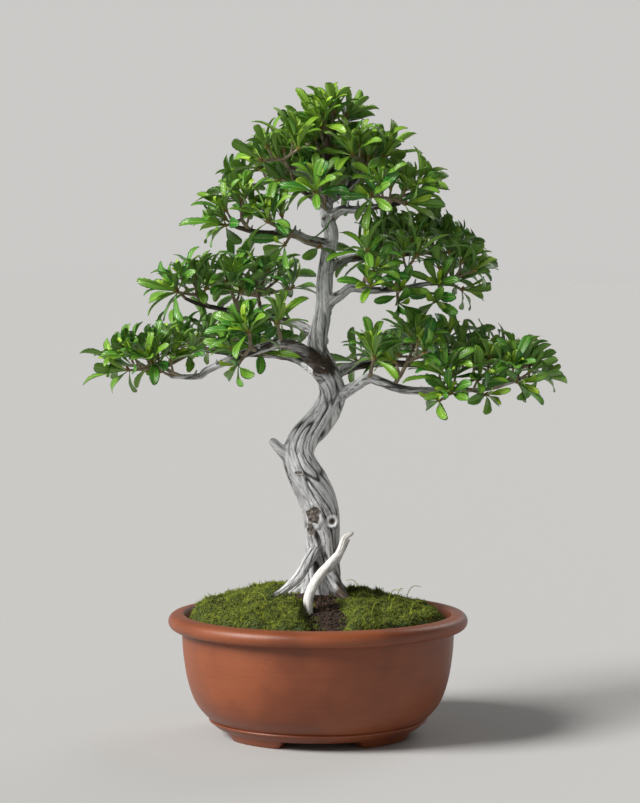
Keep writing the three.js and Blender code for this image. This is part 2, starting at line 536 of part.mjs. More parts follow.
// A turned ring of reaches around the axis.
function ringReaches(axis, seed) {
  const side = new THREE.Vector3(0, 0, 1).cross(axis).normalize();
  if (side.lengthSq() < 0.5) side.set(1, 0, 0);
  const up = axis.clone().cross(side);
  const reaches = [];
  for (let i = 0; i < PAD_RING; i += 1) {
    const turn = 2 * Math.PI * (i / PAD_RING + 0.1 * (hash01(seed + i) - 0.5) + hash01(seed + 0.5));
    const open = 1.15 + 0.3 * (hash01(seed + i + 0.3) - 0.5);
    const length = LEAF.length * (0.82 + 0.28 * hash01(seed + i + 0.7));
    const reach = side.clone().multiplyScalar(Math.cos(turn) * Math.sin(open));
    reach.addScaledVector(up, Math.sin(turn) * Math.sin(open)).addScaledVector(axis, Math.cos(open));
    reaches.push(reach.multiplyScalar(length));
  }
  return reaches;
}

// A bud's axis and the reaches of its leaves. Where the leaves are given, the axis is drawn to their middle.
function planBud(bud, fork, seed) {
  const axis = budAxis(bud, fork);
  if (!bud.tips) return { axis, reaches: ringReaches(axis, seed) };
  const reaches = tipReaches(bud, seed);
  for (const reach of reaches) axis.addScaledVector(reach.clone().normalize(), 0.4);
  return { axis: axis.normalize(), reaches };
}

// One leaf: a keeled blade with its widest place past the middle. Its upper face is turned to the bud's axis.
function planLeaf(hub, reach, axis) {
  const along = reach.clone().normalize();
  const across = along.clone().cross(axis);
  if (across.lengthSq() < 0.01) across.set(1, 0, 0).cross(along);
  across.normalize();
  const face = across.clone().cross(along);
  const width = LEAF.width * Math.min(1, 0.35 + (0.65 * reach.length()) / LEAF.length);
  const wide = hub.clone().addScaledVector(reach, 0.5 + LEAF.widest / 2).addScaledVector(face, -LEAF.thick);
  const base = hub.clone().addScaledVector(along, -1);
  const tip = hub.clone().add(reach);
  const sides = [width / 2, -width / 2].map((offset) => wide.clone().addScaledVector(across, offset));
  return { along, corners: [base, tip, ...sides] };
}

// Small turns of a leaf about its bud's axis and towards it, tried in turn until the leaf is clear of the rest.
const NUDGES = [[0, 0], [0.14, 0], [-0.14, 0], [0, 0.16], [0, -0.16], [0.28, 0.1], [-0.28, 0.1], [0.28, -0.14],
  [-0.28, -0.14], [0.42, 0], [-0.42, 0], [0, 0.34], [0, -0.34]];
const LEAST_ANGLE = 0.4; // between two leaves of one bud, in radians

function placeLeaf(hub, reach, axis, siblings, obstacles) {
  for (const [turn, lift] of NUDGES) {
    const turned = reach.clone().applyAxisAngle(axis, turn);
    const hinge = turned.clone().cross(axis).normalize();
    turned.applyAxisAngle(hinge, lift);
    const leaf = planLeaf(hub, turned, axis);
    const crowded = siblings.some((other) => other.along.angleTo(leaf.along) < LEAST_ANGLE);
    const piece = convexPiece(leaf.corners);
    if (!crowded && obstacles.every((other) => apart(piece, other, LEAF.clearance))) return { ...leaf, piece };
  }
  return null;
}

function padShoots(pad) {
  const shoots = [];
  for (let i = 0; i < pad.shoots; i += 1) shoots.push({ limb: pad.limb, buds: [] });
  for (let i = 0; i < pad.buds; i += 1) {
    const spread = Math.sqrt((i + 0.5) / pad.buds);
    const turn = i * GOLDEN_ANGLE;
    const x = pad.centre[0] + pad.rx * spread * Math.cos(turn);
    const y = pad.centre[1] + pad.ry * spread * Math.sin(turn);
    const z = pad.centre[2] + pad.dome * (1 - spread * spread) + 6 * (hash01(i + pad.rx) - 0.5);
    const sector = Math.floor((((turn / (2 * Math.PI)) % 1) * pad.shoots));
    shoots[sector].buds.push({ at: [x, y, z] });
  }
  return shoots;
}

function buildShoots() {
  const planned = [];
  const shoots = [...SHOOTS, ...PADS.flatMap(padShoots)].map((shoot) => planShoot(shoot, planned));
  const wood = [TRUNK, DEAD_STUB, ...Object.values(BRANCHES)].flatMap((points) => limbSegments(points, 0));
  const hubs = shoots.map((shoot) => shoot.buds.map(
    (bud) => convexPiece([new THREE.Vector3(...bud.at)], BUD.valley)));
  const twigSets = shoots.map((shoot) => shoot.twigs.map((twig) => limbSegments(twig, 0)));
  const leaves = [];
  shoots.forEach((shoot, s) => {
    shoot.rings = [];
    shoot.buds.forEach((bud, b) => {
      const hub = new THREE.Vector3(...bud.at);
      const { axis, reaches } = planBud(bud, shoot.fork, s * 31 + b * 7);
      const foreign = twigSets.flatMap((set, other) => set.filter((_, twig) => other !== s || twig !== b + 1)).flat();
      const otherHubs = hubs.flat().filter((piece) => piece.centre.distanceTo(hub) > BUD.valley);
      const obstacles = [...wood, ...foreign, ...otherHubs, ...leaves].filter(
        (piece) => piece.centre.distanceTo(hub) < piece.reach + 1.4 * LEAF.length);
      const siblings = [];
      for (const reach of reaches) {
        const leaf = placeLeaf(hub, reach, axis, siblings, obstacles);
        if (leaf) siblings.push(leaf);
      }
      leaves.push(...siblings.map((leaf) => leaf.piece));
      shoot.rings.push({ hub, axis, leaves: siblings });
    });
  });
  shoots.forEach((shoot, s) => addPiece(`shoot_${String(s + 1).padStart(2, "0")}`, shootSolid(shoot), LEAVES));
}

// The angle of a point around a bud's axis, and the two directions it is measured in.
function compass(hub, axis) {
  const east = new THREE.Vector3(0, 1, 0).cross(axis).normalize();
  const north = axis.clone().cross(east);
  const bearing = (point) => {
    const offset = point.clone().sub(hub);
    return Math.atan2(offset.dot(north), offset.dot(east));
  };
  return { east, north, bearing };
}

// Leaves whose sectors around the axis don't meet, in order of bearing: these share one solid.
function ringOf(leaves, bearing) {
  const turn = (from, to) => THREE.MathUtils.euclideanModulo(to - from, 2 * Math.PI);
  const marked = leaves.map((leaf) => {
    const [start, middle, end] = [2, 1, 3].map((corner) => bearing(leaf.corners[corner]));
    return { leaf, start, middle, width: turn(start, end) };
  });
  const ring = [];
  for (const entry of marked.filter((each) => each.width < 1.6)) {
    const clear = ring.every((other) => turn(entry.start, other.start) > entry.width + 0.03
      && turn(other.start, entry.start) > other.width + 0.03);
    if (clear) ring.push(entry);
  }
  return ring.sort((a, b) => a.start - b.start);
}

// A bud and its ring of leaves as one solid: a flat ball whose equator runs out along each leaf and back.
function rosette(hub, axis, leaves) {
  const { east, north, bearing } = compass(hub, axis);
  const ring = ringOf(leaves, bearing);
  const equator = ring.flatMap((entry, i) => {
    const before = ring.at(i - 1);
    const gap = THREE.MathUtils.euclideanModulo(entry.start - before.start - before.width, 2 * Math.PI);
    const valley = entry.start - gap / 2;
    const between = hub.clone().addScaledVector(east, BUD.valley * Math.cos(valley));
    between.addScaledVector(north, BUD.valley * Math.sin(valley));
    const [, tip, first, second] = entry.leaf.corners;
    return [between, first, tip, second];
  });
  const geometry = new THREE.SphereGeometry(1, equator.length, 2);
  const position = geometry.attributes.position;
  for (let i = 0; i < position.count; i += 1) {
    const pole = Math.round(position.getY(i));
    const column = i % (equator.length + 1) % equator.length;
    const point = pole === 0 ? equator[column] : hub.clone().addScaledVector(axis, pole * BUD.height);
    position.setXYZ(i, point.x, point.y, point.z);
  }
  return toSolid(geometry);
}

function shootSolid(shoot) {
  const pieces = shoot.twigs.map((twig) => limb(twig, SIDES.twig));
  for (const { hub, axis, leaves } of shoot.rings) pieces.push(rosette(hub, axis, leaves));
  return largestBody(unite(pieces).subtract(fatWood));
}

// ---------- the whole part ----------

const fatWood = unite([trunkSolid(GAP), ...Object.values(BRANCHES).map((points) => limb(points, SIDES.branch, GAP))]);

buildPot();
for (const side of [-1, 1]) buildScreen(side);
buildGrit();
buildWood();
buildShoots();

const whole = new THREE.Box3().setFromObject(group);
const centre = whole.getCenter(new THREE.Vector3());
group.position.set(-centre.x, -centre.y, -whole.min.z);
group.updateMatrixWorld(true);

export default group;
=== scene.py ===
"""A bonsai tree with evergreen leaf whorls in a round unglazed clay pot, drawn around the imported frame.

Lengths are in millimetres from the pot's axis, with +Z up and the viewer at -Y. to_mesh makes them metres.
"""
import math

import bpy
import numpy as np
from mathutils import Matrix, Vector, kdtree


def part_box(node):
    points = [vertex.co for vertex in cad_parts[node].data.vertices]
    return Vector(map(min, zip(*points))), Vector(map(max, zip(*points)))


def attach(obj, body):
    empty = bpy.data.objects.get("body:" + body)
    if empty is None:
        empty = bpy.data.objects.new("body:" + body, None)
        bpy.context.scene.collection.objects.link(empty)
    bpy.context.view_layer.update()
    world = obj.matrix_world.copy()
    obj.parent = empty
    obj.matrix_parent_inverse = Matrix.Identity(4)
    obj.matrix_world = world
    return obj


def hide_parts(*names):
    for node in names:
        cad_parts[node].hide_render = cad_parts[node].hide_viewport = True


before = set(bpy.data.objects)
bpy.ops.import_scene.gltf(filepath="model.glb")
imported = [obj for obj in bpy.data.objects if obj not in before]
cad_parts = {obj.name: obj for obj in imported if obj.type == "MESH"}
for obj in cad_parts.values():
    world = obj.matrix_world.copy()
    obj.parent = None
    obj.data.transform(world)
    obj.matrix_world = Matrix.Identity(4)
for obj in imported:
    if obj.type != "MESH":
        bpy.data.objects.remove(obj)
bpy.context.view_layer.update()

MM = 0.001
pot_low, pot_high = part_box("pot")
POT_AXIS = np.array([(pot_low.x + pot_high.x) / 2, (pot_low.y + pot_high.y) / 2, 0.0])

# ---------- sizes ----------

RIM_ROLL = {"radius": 6.8, "centre": 128.7, "z": 103.3}
FLOOR_UNDER = 7
FLOOR_TOP = 15
# A foot's radii and half its angle, at the ground and at the floor, and how far it goes into the floor.
FOOT = {"outer": (86, 91), "inner": (72, 68), "half": (19, 23), "overlap": 1.6}
FOOT_ANGLES = (-43, 47, 137, 227)  # degrees from the front towards +X
DRAIN = {"radius": 11, "offset": 34}
SCREEN = {"side": 34, "thick": 1, "holes": 9, "bar": 0.9, "gap": 0.3}

# The pot's walls, [radius, height], from the floor up on the outside and down again on the inside.
POT_FOOT_BAND = [[90, 7], [93.6, 9.2], [96.2, 12], [97, 13]]
POT_BEAD = {"radius": 1.25, "centre": 97.9, "z": 14.3}
POT_WALL = [[98, 15.6], [103, 20], [109, 27], [113.3, 35], [116.5, 44], [119.2, 55], [121, 66], [122.3, 77],
  [123, 88], [123.2, 94.5]]
POT_RIM_GROOVE = [[123.1, 96.4], [124.4, 97.0], [128.2, 96.7]]
POT_RIM_TOP = [[126.2, 110.5], [123.6, 110.9], [122, 110.5]]
POT_INSIDE = [[121, 109.2], [119.6, 105], [117, 99], [115, 88], [113, 66], [108.5, 44], [101, 27], [93, 18],
  [86, 15]]

SOIL_WALL = [[100.5, 28.3], [107, 44], [111.5, 66], [113.5, 88]]
SOIL_TOP = [[112, 100], [95, 105], [70, 112], [45, 118], [25, 125], [12, 128], [0, 129]]
CRUMBS = {"count": 2600, "inner": 14, "reach": 34}
GAP_CRUMBS = {"share": 0.36, "angles": (-16, 26), "radii": (20, 116)}  # the ones in front of the trunk
MOSS_EDGE = 1.5  # the least height of a cushion
MOSS_ROUND_OVER = 16  # how far in from its border a cushion has its full height
MOSS_GRID = (210, 80)  # points around and outwards on each cushion
MOSS_TUFTS = {"per_mm2": 0.4, "strands": 5, "length": (1.8, 3.6), "width": (0.32, 0.6)}
STRAND_ANGLES = (-112, -97, -75, -60, -45, -30, 28, 45, 60, 75, 88, 120, 150, 175, -140)
STRAND_BEND = [[0.3, 0.4, 0.36], [0.7, 0.6, 0.3], [1.2, 0.55, 0.2]]  # [aside and up by its reach, radius]
BARE = {"angle": -20, "width": 24, "depth": 20}  # in front of the trunk the soil is bare further out
MOSS_PATCHES = [  # "from" and "to" are a patch's borders, as angles at the rim and near the trunk
  {"name": "moss_left", "seams": (3, 1), "from": (-169.3, -169.3), "to": (-1, -12), "inner": 31, "outer": 117,
   "top": [[31, 130], [45, 131], [60, 128], [80, 124], [100, 119], [117, 110]]},
  {"name": "moss_right", "seams": (1, 3), "from": (9, 32), "to": (99.3, 99.3), "inner": 30, "outer": 116,
   "top": [[30, 128], [40, 127], [60, 122], [80, 118], [100, 113], [116, 107]]},
  {"name": "moss_back", "seams": (3, 3), "from": (100.7, 100.7), "to": (189.3, 189.3), "inner": 33,
   "outer": 116, "top": [[33, 130], [45, 128], [60, 124], [80, 119], [100, 113], [116, 107]]},
]

# Woody limbs: [x, y, z, radius] along each centre line.
TRUNK = [[3, 8, 92, 20], [4, 6, 112, 25], [5, 5, 126, 21.5], [5, 4, 142, 17.5], [4, 2, 162, 16],
  [4, 0, 185, 16.6], [1, -4, 208, 17.4], [-8, -8, 229, 17.6], [-16, -10, 244, 16.2], [-18, -8, 257, 14.6],
  [-12, -4, 270, 14.4], [0, 3, 282, 14], [9, 8, 295, 13.4], [13, 9, 309, 13], [10, 6, 323, 12.6],
  [4, 0, 337, 11], [-1, -5, 350, 9.6], [1, -6, 365, 8.7], [5, -4, 385, 8], [6, -2, 408, 7.6],
  [8, 0, 430, 7], [12, 2, 450, 6.7], [9, 3, 465, 6.7], [7, 3, 480, 5.8], [9, 2, 500, 4.6], [9, 0, 520, 3.6],
  [8, -4, 538, 2.6]]
DEAD_STUB = [[-12, -8, 238, 11], [-23, -10, 249, 8], [-32, -12, 257.5, 5.8], [-40, -13, 265.5, 4.2]]
SURFACE_ROOTS = [
  [[-2, -8, 168, 6.5], [-10, -18, 157, 5.8], [-16.4, -26, 147, 5], [-24.3, -32, 139.6, 4.2],
    [-32.2, -38, 134, 3.4], [-42, -44, 129.5, 2.6], [-50, -48, 124, 2]],
  [[8, -6, 150, 7], [18, -14, 132, 6], [28, -22, 121, 4.6], [40, -30, 110, 3.4]],
  [[-6, 8, 140, 8], [-20, 18, 126, 6.4], [-36, 26, 114, 4.4], [-48, 32, 104, 3]],
  [[10, 12, 140, 8], [22, 26, 124, 6.4], [34, 40, 112, 4.4], [42, 48, 102, 3]],
]
DEADWOOD = [[-9, -53, 104, 4.4], [-9, -52, 117, 4.2], [-8.6, -50, 129, 4.2], [-5.2, -47, 138.3, 4.6],
  [2, -42, 149, 4.8], [10.7, -36, 157.7, 4.6], [18.7, -31, 166.7, 4], [21.9, -28, 174.4, 3.3],
  [24.3, -27, 181, 2.7], [29.9, -28, 184.8, 2]]
DEADWOOD_SPUR = [[10, -24, 152, 3.2], [17, -24, 160, 3], [22, -22, 169, 2.5], [27, -20, 178, 1.7]]
BRANCHES = {
  "left_low": [[4, 0, 333, 7.6], [-3, -9, 339, 6.8], [-12, -17, 347, 5.9], [-21, -22, 352, 5.1],
    [-35, -28, 355, 4.5], [-49, -34, 351, 4], [-70, -40, 344, 3.7], [-97, -44, 332, 3.2],
    [-106, -44, 326, 2.8], [-129, -42, 326, 2]],
  "left_mid": [[3, 0, 357, 5.6], [-6, 13, 363, 4.8], [-18, 24, 370, 4.1], [-35, 30, 374, 3.6],
    [-51, 32, 379, 3.2], [-81, 22, 383, 2.6], [-107, 10, 389, 2], [-119, 4, 394, 1.6]],
  "right_low": [[12, 8, 303, 8], [25, 3, 310, 5.8], [36, -8, 317, 4.6], [46, -15, 323, 4.3],
    [56, -18, 320, 4], [78, -19, 313, 3.6], [115, -10, 312, 2.7], [153, -2, 313, 2], [182, 4, 321, 1.4]],
  "right_mid": [[6, -2, 388, 6.4], [13, -6, 393, 5.2], [21, -10, 398, 4.6], [30, -14, 404, 4.2],
    [48, -16, 402, 3.4], [71, -10, 403, 2.8], [95, 0, 407, 2.2], [121, 10, 409, 1.6]],
  "crown_left": [[9, 2, 442, 5.6], [3, -5, 444, 4.8], [-10, -14, 447, 4.2], [-21, -22, 452, 3.6],
    [-34, -28, 452, 3.1], [-52, -33, 453, 2.6], [-72, -36, 458, 1.9]],
  "crown_left_high": [[8, 1, 478, 4.8], [-2, -8, 492, 3.8], [-12, -15, 506, 2.9], [-26, -18, 511, 2.1]],
  "crown_right_low": [[9, 2, 466, 5.4], [22, -6, 474, 3.9], [36, -12, 474, 3.3], [56, -14, 477, 2.6],
    [72, -14, 479, 2]],
  "crown_right_high": [[8, 3, 482, 4.8], [20, 2, 489, 3.9], [33, -4, 499, 3.2], [40, -8, 508, 2.5]],
  "back_left": [[4, 2, 325, 7], [-8, 24, 333, 5.2], [-24, 44, 340, 4.3], [-48, 62, 342, 3.5],
    [-78, 74, 342, 2.7], [-108, 80, 345, 1.9]],
  "back_right": [[10, 10, 320, 7], [22, 28, 328, 5.2], [40, 44, 333, 4.3], [66, 56, 334, 3.5],
    [98, 62, 332, 2.7], [132, 66, 332, 1.9]],
  "back_mid": [[7, 0, 418, 6], [14, 16, 424, 4.8], [28, 34, 430, 4], [50, 48, 432, 3.2], [78, 54, 434, 2.5],
    [104, 58, 436, 1.8]],
  "crown_back": [[9, 4, 462, 5.4], [7, 20, 472, 4.4], [0, 38, 482, 3.6], [-8, 56, 488, 2.8],
    [-14, 72, 492, 2]],
}

# Leafy shoots. A bud with tips holds its own leaves, each [x, z] of the leaf's tip from the bud.
SHOOTS = [
  {"limb": "left_low", "buds": [
    {"at": [-145, -46, 339],
     "tips": [[-19, 19], [-6, 27], [10, 27], [20, 29], [28, 19], [25, 3], [3, -17], [-20, -19]]},
    {"at": [-176, -36, 336], "tips": [[-34, 12], [-15, 22], [-1, 30], [9, 22], [-25, -3], [-6, -14]]},
    {"at": [-166, -58, 332], "tips": [[-41, -11], [-18, -20], [-30, 4], [4, -16]]},
    {"at": [-116, -24, 344], "tips": [[6, 20], [14, 9], [-12, 12], [-16, -6], [8, -18]]}]},
  {"limb": "left_low", "buds": [
    {"at": [-60, -62, 365],
      "tips": [[-12, -20], [-36, -13], [-40, 1], [-34, 14], [-15, 26], [-3, 30], [14, 16], [27, -14]]},
    {"at": [-70, -50, 337], "tips": [[4, -17], [-12, -14], [14, -8]]}]},
  {"limb": "left_low", "buds": [
    {"at": [-36, -40, 372], "tips": [[-2, 30], [27, 24], [27, 4], [22, -8], [-14, 22], [-10, 6]]}]},
  {"limb": "left_mid", "buds": [
    {"at": [-126, -4, 400],
     "tips": [[-36, 11], [-28, -8], [-26, -19], [-14, -26], [5, -25], [-8, 27], [16, 20]]},
    {"at": [-111, 14, 405], "tips": [[-6, 27], [12, 33], [-22, 21], [22, 12], [10, -14]]}]},
  {"limb": "left_mid", "buds": [
    {"at": [-83, 18, 408],
     "tips": [[-6, 24], [15, 20], [30, 18], [16, -11], [-19, 8], [-12, -16], [26, 0]]}]},
  {"limb": "crown_left", "buds": [
    {"at": [-68, -34, 481], "tips": [[-39, 2], [-20, 16], [-7, 26], [20, 12], [-26, -12], [8, -14]]},
    {"at": [-81, -48, 459], "tips": [[-41, 2], [-22, 13], [-15, 18], [-20, -14], [-12, -18], [16, -6]]}]},
  {"limb": "crown_left", "buds": [
    {"at": [-44, -58, 462],
     "tips": [[-11, 31], [6, 36], [21, 23], [32, 7], [19, -4], [-16, -14], [-33, 12]]},
    {"at": [-29, -44, 442], "tips": [[-19, -7], [-13, -14], [3, -20]]},
    {"at": [0, -30, 440], "tips": [[-13, -9], [8, -13]]}]},
  {"limb": "crown_left_high", "buds": [
    {"at": [-49, -24, 517], "tips": [[-27, 17], [-27, 3], [-4, 22], [6, 20], [-18, -30], [14, -14]]},
    {"at": [-18, -40, 526],
     "tips": [[-39, 27], [-19, 38], [-8, 36], [4, 26], [14, 22], [-22, 2], [16, 0]]}]},
  {"limb": "trunk", "buds": [
    {"at": [-2, -52, 488],
     "tips": [[6, 29], [-18, 12], [-23, 0], [-17, -14], [2, -14], [20, -8], [17, 13]]}]},
  {"limb": "trunk", "buds": [
    {"at": [4, -12, 548],
     "tips": [[-23, 34], [-2, 30], [15, 17], [-14, 24], [-26, 12], [-17, -14], [20, -6]]},
    {"at": [15, 8, 560], "tips": [[-6, 26], [3, 24], [-20, 17], [18, 12], [10, -12]]},
    {"at": [24, 24, 552], "tips": [[15, 30], [20, 18], [27, 8], [-8, 22], [6, -14]]}]},
  {"limb": "crown_right_high", "buds": [
    {"at": [31, -28, 521],
     "tips": [[-24, 21], [-9, 21], [5, 26], [18, 29], [24, 14], [-29, 6], [-14, -13], [12, -14]]},
    {"at": [58, -14, 520], "tips": [[-4, 23], [10, 35], [28, 22], [35, 6], [-12, -9], [18, -12]]},
    {"at": [46, 10, 506], "tips": [[31, 7], [40, 16], [10, -16], [20, 24]]}]},
  {"limb": "crown_right_low", "buds": [
    {"at": [93, -8, 491], "tips": [[2, 27], [24, 16], [23, 2], [16, -8], [-12, 18], [-6, -12]]},
    {"at": [77, -30, 478], "tips": [[36, 0], [28, -13], [10, 16], [-18, 8], [4, -18]]},
    {"at": [48, -40, 485], "tips": [[15, 11], [-15, -21], [-6, -30], [-16, 8], [16, -12]]}]},
  {"limb": "right_mid", "buds": [
    {"at": [44, -46, 436],
     "tips": [[13, 29], [-24, 18], [-37, -6], [-20, 3], [-3, 16], [21, 15], [2, -13], [16, -4]]},
    {"at": [47, -44, 405], "tips": [[-30, 6], [-4, 14], [-8, -12], [14, 4]]}]},
  {"limb": "right_mid", "buds": [
    {"at": [87, -26, 432], "tips": [[-9, 36], [10, 37], [50, 9], [16, -6], [-23, 22], [-26, 3], [28, 20]]},
    {"at": [71, -24, 391], "tips": [[-4, -12], [22, -12], [8, 12]]}]},
  {"limb": "right_mid", "buds": [
    {"at": [124, 20, 433], "tips": [[-4, 20], [16, 15], [-18, 8], [20, -4]]},
    {"at": [139, 2, 418], "tips": [[-2, 24], [25, 4], [8, -12], [16, 16]]},
    {"at": [130, 16, 402], "tips": [[26, 4], [22, -8], [-3, -16], [10, -18], [-18, 6]]},
    {"at": [106, -6, 392], "tips": [[17, -10], [-12, -10], [4, 12]]}]},
  {"limb": "right_low", "buds": [
    {"at": [50, -44, 342], "tips": [[-21, 16], [-10, 18], [4, 22], [27, 18], [20, -16], [-21, -11]]}]},
  {"limb": "right_low", "buds": [
    {"at": [94, -34, 346], "tips": [[4, 23], [16, 13], [-17, 13], [-14, -4], [12, -10]]},
    {"at": [90, -8, 361], "tips": [[-14, 24], [11, 18], [-20, 8], [22, 4]]}]},
  {"limb": "right_low", "buds": [
    {"at": [116, -40, 323],
     "tips": [[11, 30], [-5, 32], [31, 14], [13, -14], [-41, -1], [-34, 14], [-20, 22], [-6, -9]]},
    {"at": [138, 14, 334], "tips": [[5, 31], [-12, 30], [20, 14], [-18, 12], [14, 24]]}]},
  {"limb": "right_low", "buds": [
    {"at": [164, -14, 334], "tips": [[-12, 23], [-2, 21], [14, -3], [6, -14], [9, 15]]},
    {"at": [149, -28, 309], "tips": [[-2, -14], [14, -10], [-16, -4]]},
    {"at": [109, -26, 304], "tips": [[3, -14], [-12, -8], [14, -2]]}]},
  {"limb": "right_low", "buds": [
    {"at": [188, 6, 334], "tips": [[-6, 20], [3, 18], [20, 21], [14, 4], [-14, 6]]},
    {"at": [200, 16, 323], "tips": [[2, 14], [9, 8], [25, -3], [18, -14], [-2, -16]]},
    {"at": [177, -28, 320], "tips": [[22, -18], [10, -17], [26, 8], [-4, -20], [-10, 10]]}]},
]

# Domed pads of foliage: buds on a golden spiral, shared out among a few shoots.
PADS = [
  {"limb": "back_left", "shoots": 3, "buds": 11, "centre": [-84, 78, 340], "rx": 74, "ry": 44, "dome": 24},
  {"limb": "back_right", "shoots": 3, "buds": 11, "centre": [104, 66, 333], "rx": 78, "ry": 42, "dome": 22},
  {"limb": "left_mid", "shoots": 1, "buds": 7, "centre": [-60, 60, 398], "rx": 48, "ry": 34, "dome": 22},
  {"limb": "back_mid", "shoots": 3, "buds": 9, "centre": [82, 64, 424], "rx": 60, "ry": 42, "dome": 26},
  {"limb": "crown_back", "shoots": 3, "buds": 12, "centre": [-4, 62, 486], "rx": 84, "ry": 40, "dome": 44},
  {"limb": "trunk", "shoots": 1, "buds": 4, "centre": [-4, 22, 526], "rx": 30, "ry": 14, "dome": 18},
]

PAD_RING = 5  # leaves in a pad bud's outer ring
PAD_LOWER_RING = 3
SIDE_BUD = {"reach": 12, "leaves": 6, "length": 31}
END_REACH = 9  # from a branch's end to the bud there
FULL_LIMBS = ("back_mid", "crown_back", "trunk")  # limbs whose pads get side buds as well
BARE_WOOD = {"below": 466, "away": 24}  # no small leaves close to the old trunk
STEM_LEAVES = {"count": 4, "first": 4, "step": 2.6, "length": 33}  # older leaves on the twig below each bud
GOLDEN_ANGLE = math.pi * (3 - math.sqrt(5))
LEAF = {"length": 38, "width": 10.2, "thick": 0.35, "clearance": 1}
TWIG = {"root": 2, "fork": 1.6, "tip": 1.1}  # radii
SWEEP = {"trunk": 0.04, "branch": 0.2}  # how far back towards the limb's start a shoot leaves it
# Ways round another twig.
DETOURS = [[0, 0, 0], [0, 0, 6], [0, 0, -6], [0, 6, 0], [0, -6, 0], [6, 0, 0], [-6, 0, 0], [0, 0, 11],
  [0, 0, -11], [0, 9, 6], [0, -9, 6], [9, 0, 6], [-9, 0, 6]]
# Turns of a leaf about its bud's axis, and towards it.
NUDGES = [[0, 0], [0.14, 0], [-0.14, 0], [0, 0.16], [0, -0.16], [0.28, 0.1], [-0.28, 0.1], [0.28, -0.14],
  [-0.28, -0.14], [0.42, 0], [-0.42, 0], [0, 0.34], [0, -0.34]]

GRAIN = [[0.085, 75], [0.19, 42], [0.5, 18]]  # lobes, grooves and lines: [turns across each mm, length along]
KNOT_SCARS = [[-4.4, 199.7, 8.2, 9.4], [-6.5, 187, 4.2, 8.5], [-17.2, 239.2, 3.4, 1.8]]  # x, z and half sizes
RING_KNOT = {"x": 12.7, "z": 194.4, "radius": 6.2}
TRUNK_VOXEL = 0.88  # the size of the mesh's quads
COLLAR = {"reach": 11, "start": 1.3, "end": 0.82}  # how far out it goes, and its girth by the branch's own
BARK_COVER = {"right_mid": 0.18, "right_low": 0.3, "left_low": 0.34}  # how much bark the palest branches have
BARK_COVER_REST = 0.6
EXTRA_LEAF = {"droop": 7, "overlap": 0.35}  # how far a leaf that the CAD lacks may hang down or touch another
# A blade's edge: [part of the length, part of the half width].
LEAF_OUTLINE = [[0, 0.12], [0.08, 0.11], [0.18, 0.2], [0.32, 0.46], [0.46, 0.72], [0.6, 0.92], [0.74, 1.0],
  [0.85, 0.94], [0.93, 0.78], [0.98, 0.56], [1, 0.42]]
LEAF_ROWS = 17
LEAF_COLUMNS = 7

CAMERA = {"x": 1.8, "distance": 2300, "z": 430, "down": 3.2, "lens": 114.5}
LIGHTS = [  # name, direction it comes from, how wide it looks in degrees, strength, colour
  ("key", [-1.3, -0.62, 1.05], 26, 4.8, (1.0, 0.985, 0.96)),
  ("edge", [0.7, 1.0, 0.8], 30, 0.5, (1.0, 1.0, 1.0)),
]
BACKDROP = [[-1.0, 0.3], [0.0, 0.594], [0.1, 0.594], [0.3, 0.24], [1.0, 0.13]]  # [sine of the height, light]
FLOOR = {"half": 40000, "colour": (186, 186, 185)}


# ---------- numbers that vary ----------

def hash01(n):
    """A repeatable scatter between 0 and 1, the same as in the part's source."""
    return (math.sin(n * 12.9898 + 78.233) * 43758.5453) % 1.0


def scramble(ix, iy, iz, seed):
    """A repeatable number between -1 and 1 for each lattice point."""
    n = (ix * 374761393 + iy * 668265263 + iz * 1442695041 + seed * 1013904223) & 0xFFFFFFFF
    n = ((n ^ (n >> 13)) * 1274126177) & 0xFFFFFFFF
    n = n ^ (n >> 16)
    return (n & 0xFFFF) / 32767.5 - 1.0


def noise(points, seed=0):
    """Smooth noise between about -1 and 1 at each row of points."""
    cell = np.floor(points).astype(np.int64)
    part = points - cell
    part = part * part * (3 - 2 * part)
    total = np.zeros(len(points))
    for corner in range(8):
        step = np.array([corner & 1, corner >> 1 & 1, corner >> 2 & 1])
        weight = np.prod(np.where(step, part, 1 - part), axis=1)
        total += weight * scramble(*(cell + step).T, seed)
    return total


def height_at(profile, radius):
    """The height of a profile of [radius, height] points at each radius."""
    rows = sorted(profile)
    return np.interp(radius, [row[0] for row in rows], [row[1] for row in rows])


def bump_at(distance, place, width):
    """A smooth bump of height 1 around place."""
    return np.exp(-(((distance - place) / width) ** 2))


def ramp(value, start, full):
    """0 up to start, 1 from full on, and even in between."""
    return np.clip((value - start) / (full - start), 0, 1)


def ground_noise(x, y, size, seed):
    """Noise over the ground, with lumps about size wide."""
    return noise(np.stack([x / size, y / size, 0 * x], -1), seed)


def limb_noise(turn, along, around, length, seed):
    """Noise on a limb's skin: around says how soon it changes round the limb, length how soon along it."""
    return noise(np.column_stack([np.cos(turn) * around, np.sin(turn) * around, along / length]), seed)


def unit(vectors):
    """Vectors scaled to length 1."""
    return vectors / np.maximum(np.linalg.norm(vectors, axis=-1, keepdims=True), 1e-9)


def turn_about(vector, axis, angle):
    """vector turned about a unit axis."""
    sideways = np.cross(axis, vector)
    along = axis * np.dot(axis, vector)
    return vector * math.cos(angle) + sideways * math.sin(angle) + along * (1 - math.cos(angle))


# ---------- shapes ----------

class Shape:
    """Points with quads and triangles, and marks: rows of numbers, one for each point."""

    def __init__(self, points, quads=(), triangles=(), **marks):
        self.points = np.asarray(points, float).reshape(-1, 3)
        self.quads = np.asarray(quads, int).reshape(-1, 4)
        self.triangles = np.asarray(triangles, int).reshape(-1, 3)
        self.marks = marks


